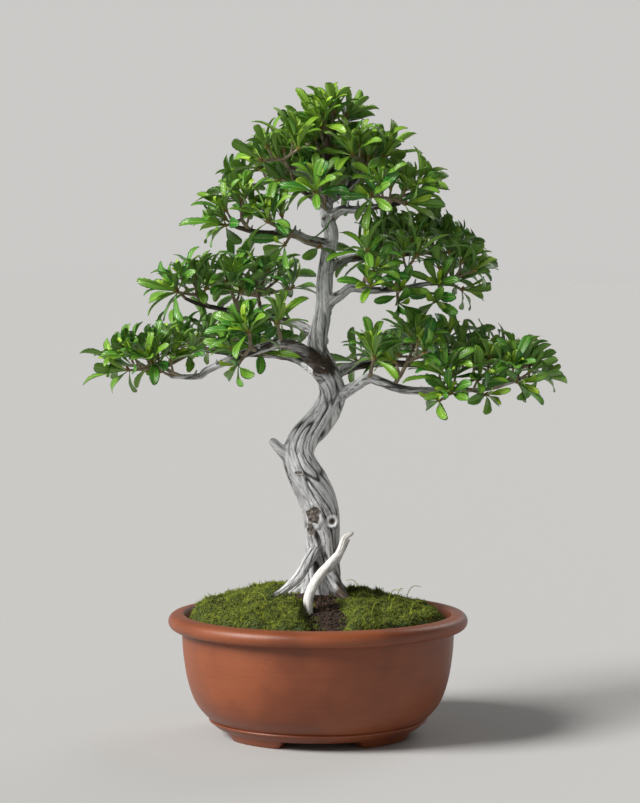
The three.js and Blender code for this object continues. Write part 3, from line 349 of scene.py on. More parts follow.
def join(shapes):
    """Several shapes with the same marks as one."""
    offsets = np.cumsum([0] + [len(shape.points) for shape in shapes[:-1]])
    quads = [shape.quads + offset for shape, offset in zip(shapes, offsets)]
    triangles = [shape.triangles + offset for shape, offset in zip(shapes, offsets)]
    marks = {key: np.concatenate([shape.marks[key] for shape in shapes]) for key in shapes[0].marks}
    points = np.concatenate([shape.points for shape in shapes])
    return Shape(points, np.concatenate(quads), np.concatenate(triangles), **marks)


def add_marks(mesh, marks):
    """Stores rows of three numbers for each point, for the materials to read."""
    for key, values in marks.items():
        mark = mesh.attributes.new(key, "FLOAT_VECTOR", "POINT")
        mark.data.foreach_set("vector", values.astype(np.float32).ravel())


def to_mesh(name, shape):
    """A shape as a Blender mesh, in metres, with its marks as attributes of its points."""
    mesh = bpy.data.meshes.new(name)
    corners = np.concatenate([shape.quads.ravel(), shape.triangles.ravel()])
    sizes = np.concatenate([np.full(len(shape.quads), 4), np.full(len(shape.triangles), 3)])
    starts = np.concatenate([[0], np.cumsum(sizes)[:-1]])
    mesh.vertices.add(len(shape.points))
    mesh.vertices.foreach_set("co", (shape.points * MM + POT_AXIS).astype(np.float32).ravel())
    mesh.loops.add(len(corners))
    mesh.loops.foreach_set("vertex_index", corners.astype(np.int32))
    mesh.polygons.add(len(sizes))
    mesh.polygons.foreach_set("loop_start", starts.astype(np.int32))
    mesh.update(calc_edges=True)
    add_marks(mesh, shape.marks)
    mesh.shade_smooth()
    return mesh


def add_object(name, mesh):
    """Puts a mesh into the scene."""
    piece = bpy.data.objects.new(name, mesh)
    bpy.context.scene.collection.objects.link(piece)
    return piece


def add_piece(name, shape, material, slot, *nodes):
    """A finished piece of the object, which stands for these CAD nodes."""
    mesh = shape if isinstance(shape, bpy.types.Mesh) else to_mesh(name, shape)
    mesh.materials.clear()
    mesh.materials.append(material)
    piece = add_object(name, mesh)
    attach(piece, "root")
    if nodes:
        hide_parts(*nodes)
    return piece


def points_of(mesh):
    """A mesh's vertices in millimetres from the pot's axis."""
    flat = np.zeros(len(mesh.vertices) * 3, np.float32)
    mesh.vertices.foreach_get("co", flat)
    return (flat.reshape(-1, 3).astype(float) - POT_AXIS) / MM


def evaluated(piece):
    """A copy of the mesh with its modifiers applied; the object that carried them goes."""
    graph = bpy.context.evaluated_depsgraph_get()
    mesh = bpy.data.meshes.new_from_object(piece.evaluated_get(graph))
    bpy.data.objects.remove(piece)
    return mesh


def grid_faces(rows, columns, closed=False):
    """Quads between rows of points; closed joins the last column to the first."""
    across = columns if closed else columns - 1
    i, j = np.meshgrid(np.arange(rows - 1), np.arange(across), indexing="ij")
    k = (j + 1) % columns
    here, ahead = i * columns, (i + 1) * columns
    return np.stack([here + j, here + k, ahead + k, ahead + j], -1).reshape(-1, 4)


def end_fans(first_pole, sides):
    """Triangles from the first and the last ring to the two poles that follow the rings."""
    j = np.arange(sides)
    k = (j + 1) % sides
    last_ring = first_pole - sides
    start = np.stack([np.full(sides, first_pole), k, j], -1)
    end = np.stack([np.full(sides, first_pole + 1), last_ring + j, last_ring + k], -1)
    return np.concatenate([start, end])


def repeated(faces, count, size):
    """The same triangles for each of many small shapes, which have size points each."""
    return (faces[None] + size * np.arange(count)[:, None, None]).reshape(-1, 3)


def spline(points, step):
    """A Catmull-Rom curve through rows of numbers, sampled about every step of its first three."""
    points = np.asarray(points, float)
    padded = np.vstack([2 * points[0] - points[1], points, 2 * points[-1] - points[-2]])
    rows = []
    for a, b, c, d in zip(padded, padded[1:], padded[2:], padded[3:]):
        count = max(2, math.ceil(np.linalg.norm((c - b)[:3]) / step))
        t = np.arange(count)[:, None] / count
        square = 2 * a - 5 * b + 4 * c - d
        cube = 3 * b - a - 3 * c + d
        rows.append(0.5 * (2 * b + (c - a) * t + square * t**2 + cube * t**3))
    return np.vstack(rows + [points[-1:]])


def lengths_along(centres):
    """How far along a curve each of its samples is."""
    return np.concatenate([[0], np.cumsum(np.linalg.norm(np.diff(centres, axis=0), axis=1))])


def lathe(profile, sides):
    """A closed turned body. The profile runs from the axis to the axis, anticlockwise as seen from -Y."""
    rings = np.asarray(profile[1:-1], float)
    turn = np.arange(sides) * 2 * np.pi / sides
    x = rings[:, :1] * np.cos(turn)
    y = rings[:, :1] * np.sin(turn)
    z = np.repeat(rings[:, 1:], sides, axis=1)
    points = np.stack([x, y, z], -1).reshape(-1, 3)
    fans = end_fans(len(points), sides)
    points = np.vstack([points, [0, 0, profile[0][1]], [0, 0, profile[-1][1]]])
    return Shape(points, grid_faces(len(rings), sides, closed=True), fans)


# ---------- limbs ----------

def carried_frames(centres):
    """Directions across a curve that turn as little as possible from one sample to the next."""
    tangents = unit(np.gradient(centres, axis=0))
    side = np.array([1.0, 0, 0]) if abs(tangents[0][1]) > 0.9 else np.array([0, 1.0, 0])
    rows = []
    for tangent in tangents:
        side = unit(side - tangent * np.dot(side, tangent))
        rows.append(side)
    sides = np.array(rows)
    return tangents, sides, np.cross(tangents, sides)


def round_ends(line):
    """Rings that close a limb's two ends with half balls."""
    steps = np.sin(np.arange(1, 5) / 5 * np.pi / 2)[:, None]
    shrink = np.sqrt(1 - steps**2)
    ends = []
    for row, inner in ((line[0], line[1]), (line[-1], line[-2])):
        out = unit(row[:3] - inner[:3])
        ends.append(np.hstack([row[:3] + out * row[3] * steps, row[3] * shrink]))
    return np.vstack([ends[0][::-1], line, ends[1]])


def tube(points, sides, step, relief=None):
    """A closed round-ended limb. relief(turn, along, radius) gives each place's height on it, and its marks."""
    line = round_ends(spline(points, step))
    centres, radii = line[:, :3], line[:, 3]
    _, across, up = carried_frames(centres)
    turn, along = np.meshgrid(np.arange(sides) * 2 * np.pi / sides, lengths_along(centres))
    girth = np.repeat(radii[:, None], sides, axis=1)
    turn, along, girth = turn.ravel(), along.ravel(), girth.ravel()
    out, marks = (0, {}) if relief is None else relief(turn, along, girth)
    direction = np.repeat(across, sides, axis=0) * np.cos(turn)[:, None]
    direction += np.repeat(up, sides, axis=0) * np.sin(turn)[:, None]
    rings = np.repeat(centres, sides, axis=0) + direction * (girth + out)[:, None]
    poles = [centres[0] + (centres[0] - centres[1]) * 0.3, centres[-1] + (centres[-1] - centres[-2]) * 0.3]
    marks = {key: np.concatenate([values, values[:1], values[-1:]]) for key, values in marks.items()}
    quads = grid_faces(len(centres), sides, closed=True)
    return Shape(np.vstack([rings, poles]), quads, end_fans(len(rings), sides), **marks)


def wood_relief(turn, along, girth, seed, twist=0.02, depth=1.0):
    """Grain of lobes, grooves and fine lines: the height, the painted shade for the grooves, fine lines and
    valleys between lobes, and the grain's own place.
    """
    turned = turn + twist * along + 0.5 * limb_noise(turn, along, 1, 55, seed)
    ring = np.stack([np.cos(turned), np.sin(turned)], -1) * girth[:, None]
    lobes, grooves, lines = (noise(np.column_stack([ring * across, along / length]), seed + i)
                             for i, (across, length) in enumerate(GRAIN, 1))
    groove = np.exp(-((grooves / 0.11) ** 2))
    shallow = np.exp(-((lines / 0.16) ** 2))
    height = girth * 0.13 * lobes - depth * np.minimum(2.1, girth * 0.13) * groove
    height += depth * np.minimum(0.35, girth * 0.03) * (lines - 1.4 * shallow)
    # Painted shade: darkening for grooves, fine lines and the valleys between lobes, where shade would fall.
    shade = groove + 0.45 * shallow + 0.4 * np.clip(-lobes - 0.1, 0, 1)
    return height, np.clip(shade, 0, 1), np.column_stack([ring, along])


def wood_marks(grain, groove, bark, scar=0.0):
    """What a wood finish reads at each point: the grain's place, the painted shade of its grooves, and how barky
    and scarred it is.
    """
    shade_and_wear = np.zeros((len(grain), 3))
    shade_and_wear[:, 0] = groove
    shade_and_wear[:, 1] = bark
    shade_and_wear[:, 2] = scar
    return {"grain": grain, "shade_and_wear": shade_and_wear}


# ---------- finishes ----------

class Finish:
    """A material under construction: a Principled shader and the nodes that feed it."""

    def __init__(self, name, **sockets):
        self.material = bpy.data.materials.new(name)
        self.material.use_nodes = True
        self.tree = self.material.node_tree
        self.shader = self.tree.nodes["Principled BSDF"]
        for key, value in sockets.items():
            self.shader.inputs[key.replace("_", " ")].default_value = value

    def set(self, socket, value):
        """Feeds a socket from another node's output, or gives it a value."""
        if isinstance(value, bpy.types.NodeSocket):
            self.tree.links.new(value, socket)
        else:
            socket.default_value = value

    def node(self, kind, inputs, **settings):
        """A new node with these inputs and settings."""
        made = self.tree.nodes.new(kind)
        for key, value in settings.items():
            setattr(made, key, value)
        for key, value in inputs.items():
            self.set(made.inputs[key], value)
        return made

    def place(self):
        """Where a point is on the object, in metres."""
        return self.node("ShaderNodeTexCoord", {}).outputs["Object"]

    def mark(self, name, part=None):
        """A mark of the mesh: all three numbers, or one of them."""
        made = self.node("ShaderNodeAttribute", {}, attribute_name=name)
        if part is None:
            return made.outputs["Vector"]
        return self.node("ShaderNodeSeparateXYZ", {0: made.outputs["Vector"]}).outputs[part]

    def stretched(self, vector, scale):
        """A place scaled along each axis."""
        return self.node("ShaderNodeMapping", {"Vector": vector, "Scale": scale}).outputs[0]

    def noise(self, vector, scale, detail=4.0, roughness=0.55):
        """Cloudy noise, from 0 to 1."""
        inputs = {"Vector": vector, "Scale": scale, "Detail": detail, "Roughness": roughness}
        return self.node("ShaderNodeTexNoise", inputs).outputs[0]

    def math(self, operation, a, b=0.0):
        """One step of arithmetic."""
        return self.node("ShaderNodeMath", {0: a, 1: b}, operation=operation).outputs[0]

    def span(self, value, low, high, to_low=0.0, to_high=1.0):
        """Goes smoothly from to_low to to_high as the value goes from low to high."""
        inputs = {0: value, 1: low, 2: high, 3: to_low, 4: to_high}
        return self.node("ShaderNodeMapRange", inputs, interpolation_type="SMOOTHSTEP").outputs[0]

    def mix(self, factor, a, b):
        """Colour a where the factor is 0, and b where it is 1."""
        return self.node("ShaderNodeMix", {0: factor, 6: a, 7: b}, data_type="RGBA").outputs[2]

    def over(self, colour, paint, value, low, high, to_high=1.0, to_low=0.0):
        """Lays paint over colour. Its share goes from to_low to to_high as value goes from low to high."""
        return self.mix(self.span(value, low, high, to_low, to_high), colour, paint)

    def paint(self, colour, roughness=None):
        """Feeds the shader's colour, and its roughness where that varies."""
        self.set(self.shader.inputs["Base Color"], colour)
        if roughness is not None:
            self.set(self.shader.inputs["Roughness"], roughness)

    def bump(self, *layers):
        """Layers of (height, distance in metres), one on top of the other."""
        normal = None
        for height, distance in layers:
            inputs = {"Height": height, "Distance": distance, "Strength": 1.0}
            if normal is not None:
                inputs["Normal"] = normal
            normal = self.node("ShaderNodeBump", inputs).outputs[0]
        self.set(self.shader.inputs["Normal"], normal)


def rgb(red, green, blue):
    """A colour given as it looks on a screen, 0 to 255."""
    channels = [c / 255 for c in (red, green, blue)]
    return tuple(c / 12.92 if c <= 0.04045 else ((c + 0.055) / 1.055) ** 2.4 for c in channels) + (1.0,)


def clay_finish():
    """Unglazed red-brown clay: cloudy firing colour, fine speckle, faint rings from the wheel."""
    clay = Finish("fired_clay")
    place = clay.place()
    cloud = clay.noise(place, 14, 3)
    speckle = clay.noise(place, 900, 2)
    pits = clay.noise(place, 260, 3)
    rings = clay.noise(clay.stretched(place, (6, 6, 420)), 1, 3)
    colour = clay.over(rgb(112, 55, 29), rgb(136, 71, 38), cloud, 0.35, 0.65)
    colour = clay.over(colour, rgb(94, 48, 27), rings, 0.4, 0.7, 0.12)
    colour = clay.over(colour, rgb(104, 58, 40), speckle, 0.62, 0.75, 0.5)
    colour = clay.over(colour, rgb(80, 46, 34), pits, 0.68, 0.74, 0.6)
    clay.paint(colour, clay.span(cloud, 0.3, 0.7, 0.38, 0.5))
    clay.bump((rings, 0.0002), (speckle, 0.0001), (pits, 0.00015))
    return clay.material


WOODS = {  # colours of the sound wood, its dark streaks, the painted shade in its grooves, and its bark
  "old_wood": [(226, 227, 229), (122, 119, 118), (30, 28, 28), (92, 74, 58)],
  "bleached_wood": [(240, 238, 235), (184, 180, 174), (96, 88, 82), (120, 84, 58)],
  "young_bark": [(164, 150, 126), (108, 94, 74), (50, 40, 32), (108, 82, 60)],
}


def wood_finish(name):
    """Weathered wood, with bark and scars where the marks say so, and painted shade in its grooves."""
    wood = Finish(name)
    light, dark, painted_groove_shade, brown = (rgb(*colour) for colour in WOODS[name])
    deep_brown = tuple(0.35 * c for c in brown[:3]) + (1.0,)
    grain = wood.mark("grain")
    groove, barky, scar = (wood.mark("shade_and_wear", part) for part in range(3))
    streak = wood.noise(wood.stretched(grain, (1, 1, 0.055)), 1.1, 5, 0.6)
    hair = wood.noise(wood.stretched(grain, (1, 1, 0.03)), 3.2, 3, 0.6)
    patch = wood.noise(wood.stretched(grain, (1, 1, 0.3)), 0.11, 4)
    flake = wood.noise(wood.stretched(grain, (1, 1, 0.45)), 0.7, 5, 0.65)
    colour = wood.over(dark, light, streak, 0.3, 0.52)
    colour = wood.over(colour, dark, hair, 0.52, 0.7, 0.3)
    bark = wood.over(brown, deep_brown, flake, 0.35, 0.65)
    cover = wood.math("ADD", barky, wood.span(patch, 0.35, 0.7, -0.22, 0.22))
    colour = wood.over(colour, bark, cover, 0.35, 0.65)
    # Painted shade: the grooves and valleys go towards a near-black colour.
    colour = wood.mix(wood.math("MULTIPLY", groove, 0.96), colour, painted_groove_shade)
    torn = wood.over(rgb(38, 31, 27), rgb(132, 120, 108), flake, 0.4, 0.62)
    colour = wood.over(colour, torn, scar, 0.15, 0.5, 0.95)
    # Near black where the scar mark is highest, in the cut knot's hole: dark rot with painted shade.
    colour = wood.over(colour, rgb(30, 24, 21), scar, 0.8, 1.0, 0.9)
    wood.paint(colour, wood.span(streak, 0.3, 0.7, 0.86, 0.66))
    wood.bump((streak, 0.0009), (hair, 0.0004), (flake, 0.0004))
    return wood.material


def leaf_finish():
    """Glossy leaves: deep green when old and yellow-green when young, a pale midrib, fine side veins."""
    leaf = Finish("leaf", Specular_IOR_Level=0.5)
    young = leaf.mark("blade", 0)
    side = leaf.math("ABSOLUTE", leaf.mark("blade", 1))
    along = leaf.mark("blade", 2)
    under = leaf.mark("under", 0)
    mottle = leaf.noise(leaf.place(), 130, 3)
    slant = leaf.math("SUBTRACT", leaf.math("MULTIPLY", along, 62.0), leaf.math("MULTIPLY", side, 13.0))
    vein = leaf.math("SINE", slant)
    colour = leaf.mix(young, rgb(42, 112, 34), rgb(160, 194, 44))
    blotch = leaf.mix(young, rgb(58, 128, 40), rgb(124, 170, 42))
    colour = leaf.over(colour, blotch, mottle, 0.35, 0.7, 0.45)
    colour = leaf.over(colour, rgb(140, 180, 90), vein, 0.8, 1.0, 0.07)
    colour = leaf.mix(leaf.math("MULTIPLY", under, 0.45), colour, rgb(136, 172, 96))
    colour = leaf.over(colour, rgb(160, 192, 90), side, 0.04, 0.12, 0, 0.55)
    colour = leaf.over(colour, rgb(156, 128, 48), along, 0.02, 0.17, 0, 0.85)
    leaf.paint(colour, leaf.span(mottle, 0.3, 0.7, 0.26, 0.4))
    leaf.bump((vein, 0.00007), (mottle, 0.0003))
    return leaf.material


def bud_finish():
    """Bud scales and leaf stalks: yellow-green turning to red-brown."""
    bud = Finish("bud_scales", Roughness=0.55)
    scale = bud.noise(bud.place(), 420, 3)
    bud.paint(bud.over(rgb(142, 138, 56), rgb(112, 72, 44), scale, 0.35, 0.65))
    bud.bump((scale, 0.0003))
    return bud.material


def moss_finish():
    """Moss: each strand has its own green, with painted shade darkening it towards its foot; a few dry ones are
    straw.
    """
    moss = Finish("moss", Roughness=0.85)
    tone = moss.mark("strand", 0)
    rise = moss.mark("strand", 1)
    patch = moss.noise(moss.place(), 55, 3)
    speck = moss.noise(moss.place(), 300, 2)
    colour = moss.mix(tone, rgb(58, 84, 12), rgb(160, 172, 38))
    colour = moss.over(colour, rgb(48, 76, 12), patch, 0.42, 0.66, 0.55)
    colour = moss.over(colour, rgb(140, 120, 46), patch, 0.6, 0.76, 0.7)
    colour = moss.over(colour, rgb(168, 158, 60), speck, 0.56, 0.7, 0.6)
    colour = moss.over(colour, rgb(34, 50, 10), speck, 0.3, 0.44, 0, 0.5)
    # Painted shade: near black low on each strand and on the cushion, where the strands shade each other.
    colour = moss.over(colour, rgb(16, 24, 6), rise, 0, 0.9, 0, 0.9)
    moss.paint(colour)
    moss.bump((moss.noise(moss.place(), 700, 3), 0.0006))
    return moss.material


def soil_finish():
    """Dark crumbly soil with lighter and redder grains."""
    soil = Finish("soil", Roughness=0.95)
    place = soil.place()
    grain = soil.noise(place, 600, 4)
    colour = soil.mix(soil.mark("crumb", 0), rgb(40, 29, 22), rgb(98, 70, 50))
    soil.paint(soil.over(colour, rgb(26, 19, 15), grain, 0.4, 0.7, 0.7))
    soil.bump((grain, 0.0012), (soil.noise(place, 170, 3), 0.002))
    return soil.material


def grit_finish():
    """Packed grit: rounded grains in mixed stone colours, with painted shade in the gaps between them."""
    grit = Finish("grit", Roughness=0.9)
    cells = grit.node("ShaderNodeTexVoronoi", {"Vector": grit.place(), "Scale": 260.0})
    tone = grit.noise(cells.outputs["Position"], 900, 1)
    colour = grit.mix(tone, rgb(96, 78, 62), rgb(172, 158, 140))
    # Painted shade: each grain darkens towards its border, in the gaps between grains.
    grit.paint(grit.over(colour, rgb(44, 36, 30), cells.outputs["Distance"], 0.35, 0.6))
    grit.bump((grit.math("MULTIPLY", cells.outputs["Distance"], -1.0), 0.002))
    return grit.material


def plastic_finish():
    """Black moulded plastic, dusty with soil."""
    plastic = Finish("screen_plastic")
    dust = plastic.noise(plastic.place(), 240, 4)
    colour = plastic.over(rgb(30, 32, 30), rgb(84, 70, 58), dust, 0.45, 0.7, 0.6)
    plastic.paint(colour, plastic.span(dust, 0.4, 0.7, 0.42, 0.8))
    plastic.bump((dust, 0.0002))
    return plastic.material


def studio_finish(name, colour):
    """A plain matt finish for what stands round the object."""
    plain = Finish(name, Roughness=0.9)
    plain.paint(colour)
    return plain.material


# ---------- pot and what it holds ----------

def arc(radius, centre, height, start, end, steps):
    """Points of a profile's round part, between two angles from straight outwards."""
    angles = np.linspace(start, end, steps)
    return [[centre + radius * math.cos(a), height + radius * math.sin(a)] for a in angles]


def pot_profile():
    """The pot's section, from the axis under the floor, up outside, over the rim and down inside."""
    bead = arc(POT_BEAD["radius"], POT_BEAD["centre"], POT_BEAD["z"], -1.1, 1.1, 7)
    roll = arc(RIM_ROLL["radius"], RIM_ROLL["centre"], RIM_ROLL["z"], -1.15, 1.5, 18)
    outside = spline(POT_FOOT_BAND, 1.5).tolist() + bead + spline(POT_WALL, 2.5).tolist()
    inside = spline(POT_INSIDE, 3).tolist()
    floor_middle = 40
    return [[0, FLOOR_UNDER], [floor_middle, FLOOR_UNDER]] + outside + POT_RIM_GROOVE + roll + POT_RIM_TOP \
        + inside + [[floor_middle, FLOOR_TOP], [0, FLOOR_TOP]]


def rounded_block(steps, rounding):
    """A cube from -1 to 1 with rounded edges."""
    line = np.linspace(-1, 1, steps)
    a, b = (grid.ravel() for grid in np.meshgrid(line, line, indexing="ij"))
    shapes = []
    for axis in range(3):
        for sign in (-1, 1):
            face = np.zeros((len(a), 3))
            face[:, axis] = sign
            face[:, (axis + 1) % 3] = a if sign > 0 else b
            face[:, (axis + 2) % 3] = b if sign > 0 else a
            shapes.append(Shape(face, grid_faces(steps, steps)))
    block = join(shapes)
    core = np.clip(block.points, rounding - 1, 1 - rounding)
    block.points = core + unit(block.points - core) * rounding
    return block


def foot_shape(angle_degrees):
    """A rounded wedge of the pot's foot ring, narrower at the ground."""
    block = rounded_block(13, 0.16)
    across, outward, up = block.points.T
    rise = (up + 1) / 2
    sizes = (FOOT["half"], FOOT["outer"], FOOT["inner"])
    half, outer, inner = (ground + (floor - ground) * rise for ground, floor in sizes)
    angle = np.radians(angle_degrees + half * across)
    radius = inner + (outer - inner) * (outward + 1) / 2
    height = (FLOOR_UNDER + FOOT["overlap"]) * rise
    block.points = np.stack([radius * np.sin(angle), -radius * np.cos(angle), height], -1)
    return block


def weld(mesh):
    """Joins points that lie on each other."""
    piece = add_object("weld_work", mesh)
    modifier = piece.modifiers.new("weld", "WELD")
    modifier.merge_threshold = 0.02 * MM
    return evaluated(piece)


def combine(base, tools):
    """A mesh with (operation, mesh) tools joined to it or cut from it."""
    piece = add_object("combine_work", base)
    helpers = []
    for operation, mesh in tools:
        helper = add_object("combine_tool", mesh)
        helpers.append(helper)
        modifier = piece.modifiers.new(operation, "BOOLEAN")
        modifier.operation = operation
        modifier.object = helper
        modifier.solver = "EXACT"
    mesh = evaluated(piece)
    for helper in helpers:
        bpy.data.objects.remove(helper)
    return mesh


def drain_tool(side):
    """A plug that cuts one drain hole through the floor."""
    low, high = FLOOR_UNDER - 5, FLOOR_TOP + 5
    plug = lathe([[0, low], [DRAIN["radius"], low], [DRAIN["radius"], high], [0, high]], 48)
    plug.points[:, 0] += side * DRAIN["offset"]
    return plug


def build_pot(clay):
    """The turned body, joined to its feet and pierced by its drain holes."""
    body = to_mesh("pot_body", lathe(pot_profile(), 192))
    tools = [("UNION", weld(to_mesh("pot_foot", foot_shape(angle)))) for angle in FOOT_ANGLES]
    tools += [("DIFFERENCE", to_mesh("pot_drain", drain_tool(side))) for side in (-1, 1)]
    mesh = combine(body, tools)
    mesh.shade_smooth()
    mesh.set_sharp_from_angle(angle=math.radians(38))
    add_piece("clay_pot", mesh, clay, "clay", "pot")


def bar_shape(low, high):
    """A slim moulded bar with softened edges between two corners."""
    block = rounded_block(4, 0.3)
    low, high = np.array(low), np.array(high)
    block.points = (low + high) / 2 + block.points * (high - low) / 2
    return block


def build_screens(plastic):
    """A moulded lattice lies over each drain hole, one layer of bars across the other."""
    half = SCREEN["side"] / 2
    thin = SCREEN["bar"] / 2
    low = FLOOR_TOP + SCREEN["gap"]
    top = low + SCREEN["thick"]
    for side, name in ((-1, "left"), (1, "right")):
        middle = side * DRAIN["offset"]
        bars = []
        for place in np.linspace(-half + SCREEN["bar"], half - SCREEN["bar"], SCREEN["holes"] + 1):
            x, y = middle + place, place
            bars.append(bar_shape([x - thin, -half, low], [x + thin, half, top - 0.3]))
            bars.append(bar_shape([middle - half, y - thin, low + 0.3], [middle + half, y + thin, top]))
        mesh = weld(to_mesh(f"drain_lattice_{name}", join(bars)))
        add_piece(f"drain_lattice_{name}", mesh, plastic, "screen_plastic", f"drain_screen_{name}")


def soil_height(x, y):
    """The crumbly top of the soil."""
    crumbs = ground_noise(x, y, 6, 11) + 0.5 * ground_noise(x, y, 2.4, 12)
    return height_at(SOIL_TOP, np.hypot(x, y)) + 0.9 * crumbs


def build_soil(soil):
    """The soil that fills the pot, mounded towards the trunk."""
    base = SOIL_WALL[0][1]
    wall = spline(SOIL_WALL, 6).tolist()
    top = [[radius, height_at(SOIL_TOP, radius)] for radius in np.arange(SOIL_TOP[0][0] - 0.5, 2, -1.6)]
    body = lathe([[0, base], [50, base]] + wall + top + [SOIL_TOP[-1]], 256)
    x, y, z = body.points.T
    upper = z > SOIL_WALL[-1][1]
    body.points[upper, 2] = soil_height(x[upper], y[upper])
    body.marks["crumb"] = np.repeat(0.3 + 0.3 * noise(body.points / 5, 13)[:, None], 3, axis=1)
    add_piece("soil_bed", body, soil, "soil", "soil")


GOLDEN = (1 + 5**0.5) / 2
ICOSAHEDRON = np.array([[-1, GOLDEN, 0], [1, GOLDEN, 0], [-1, -GOLDEN, 0], [1, -GOLDEN, 0], [0, -1, GOLDEN],
  [0, 1, GOLDEN], [0, -1, -GOLDEN], [0, 1, -GOLDEN], [GOLDEN, 0, -1], [GOLDEN, 0, 1], [-GOLDEN, 0, -1],
  [-GOLDEN, 0, 1]])
ICOSAHEDRON_FACES = np.array([
  [0, 11, 5], [0, 5, 1], [0, 1, 7], [0, 7, 10], [0, 10, 11], [1, 5, 9], [5, 11, 4], [11, 10, 2], [10, 7, 6],
  [7, 1, 8], [3, 9, 4], [3, 4, 2], [3, 2, 6], [3, 6, 8], [3, 8, 9], [4, 9, 5], [2, 4, 11], [6, 2, 10], [8, 6, 7],
  [9, 8, 1]])


def crumb_shapes(centres, sizes, tones, random):
    """Small uneven lumps: jittered icosahedra."""
    count = len(centres)
    jitter = ICOSAHEDRON / 1.9 + random.uniform(-0.24, 0.24, (count, 12, 3))
    squash = random.uniform(0.6, 1.0, (count, 1, 3))
    points = centres[:, None] + jitter * squash * sizes[:, None, None]
    marks = np.repeat(np.repeat(tones, 12)[:, None], 3, axis=1)
    return Shape(points.reshape(-1, 3), (), repeated(ICOSAHEDRON_FACES, count, 12), crumb=marks)


def build_crumbs(soil):
    """Loose grains on the bare soil round the trunk and in the gap in front of it."""
    random = np.random.default_rng(5)
    count = CRUMBS["count"]
    angle = np.radians(random.uniform(0, 360, count))
    radius = CRUMBS["inner"] + CRUMBS["reach"] * np.sqrt(random.uniform(0, 1, count))
    in_gap = random.uniform(0, 1, count) < GAP_CRUMBS["share"]
    angle[in_gap] = np.radians(random.uniform(*GAP_CRUMBS["angles"], in_gap.sum()))
    radius[in_gap] = random.uniform(*GAP_CRUMBS["radii"], in_gap.sum())
    x, y = radius * np.sin(angle), -radius * np.cos(angle)
    sizes = 0.5 + 1.5 * random.uniform(0, 1, count) ** 3
    centres = np.stack([x, y, soil_height(x, y) + 0.3 * sizes], -1)
    tones = random.uniform(0, 1, count) ** 2
    add_piece("soil_crumbs", crumb_shapes(centres, sizes, tones, random), soil, "soil")


# ---------- moss ----------

def moss_lumps(x, y):
    """How far the cushions stand above or below a patch's even top."""
    lumps = 3.4 * ground_noise(x, y, 14, 21)
    lumps += 2.0 * np.abs(ground_noise(x, y, 6, 22)) - 0.6
    return lumps + 0.9 * ground_noise(x, y, 2.6, 25)


def moss_place(patch, u, v):
    """A point of a patch's top for u around and v outwards, each 0 to 1, and the soil's height there."""
    start, end = (patch[key][1] + (patch[key][0] - patch[key][1]) * v for key in ("from", "to"))
    phase = patch["from"][0]
    sway = np.sin(v * 7 + phase) * 4 * (1 - np.abs(2 * u - 1))
    degrees = start + (end - start) * u + sway
    angle = np.radians(degrees)
    bare = BARE["depth"] * bump_at(degrees, BARE["angle"], BARE["width"])
    inner = patch["inner"] + bare + 5 * np.sin(angle * 5 + phase)
    across = patch["outer"] - inner
    radius = inner + across * v
    behind = ramp(np.abs(degrees), 50, 90)
    angle = angle + np.radians(4) * np.sin(radius / 8) * behind  # so that the seams behind the trunk wander
    x, y = radius * np.sin(angle), -radius * np.cos(angle)
    start_seam, end_seam = patch["seams"]
    from_seams = np.minimum(u * start_seam, (1 - u) * end_seam) * np.radians(end - start) * radius
    border = np.minimum(from_seams, np.minimum(v, (1 - v) * 1.6) * across)
    ragged = 5 * ground_noise(x, y, 6, 24) * (v < 0.9)
    ease = np.clip((border + ragged) / MOSS_ROUND_OVER, 0, 1)
    soil = height_at(SOIL_TOP, radius) + 0.3
    rise = np.maximum(height_at(patch["top"], radius) - soil + moss_lumps(x, y), MOSS_EDGE)
    return np.stack([x, y, soil + rise * (1 - (1 - ease) ** 2)], -1), soil


def moss_mat(patch):
    """The cushion under the strands, closed below."""
    rows, columns = MOSS_GRID
    u, v = np.meshgrid(np.linspace(0, 1, rows), np.linspace(0, 1, columns), indexing="ij")
    top, soil = moss_place(patch, u.ravel(), v.ravel())
    bottom = top.copy()
    bottom[:, 2] = soil - 1.2
    faces = grid_faces(rows, columns)
    edge = np.concatenate([
        np.arange(columns), np.arange(1, rows) * columns + columns - 1,
        (rows - 1) * columns + np.arange(columns - 2, -1, -1), np.arange(rows - 2, 0, -1) * columns])
    after = np.roll(edge, -1)
    count = len(top)
    skirt = np.stack([edge, edge + count, after + count, after], -1)
    quads = np.concatenate([faces[:, ::-1], faces + count, skirt[:, ::-1]])
    strand = np.zeros((2 * count, 3))
    strand[:, 0] = 0.3
    # The cushion's top counts as low among the strands, so it takes much of the painted shade.
    strand[:count, 1] = 0.25
    return Shape(np.vstack([top, bottom]), quads, strand=strand)


def spikes(roots, tips, width, tone):
    """Closed slender three-sided spikes from roots to tips."""
    out = unit(tips - roots)
    side = unit(np.cross(out, np.array([0.3, 0.5, 0.81])))
    up = np.cross(out, side)
    turns = (0, 2.094, 4.189)
    corners = [roots + width[:, None] * (side * math.cos(turn) + up * math.sin(turn)) for turn in turns]
    points = np.stack(corners + [tips], 1).reshape(-1, 3)
    faces = np.array([[0, 1, 3], [1, 2, 3], [2, 0, 3], [0, 2, 1]])
    count = len(roots)
    strand = np.zeros((count, 4, 3))
    strand[:, :, 0] = tone[:, None]
    strand[:, 3, 1] = 1
    return Shape(points, (), repeated(faces, count, 4), strand=strand.reshape(-1, 3))


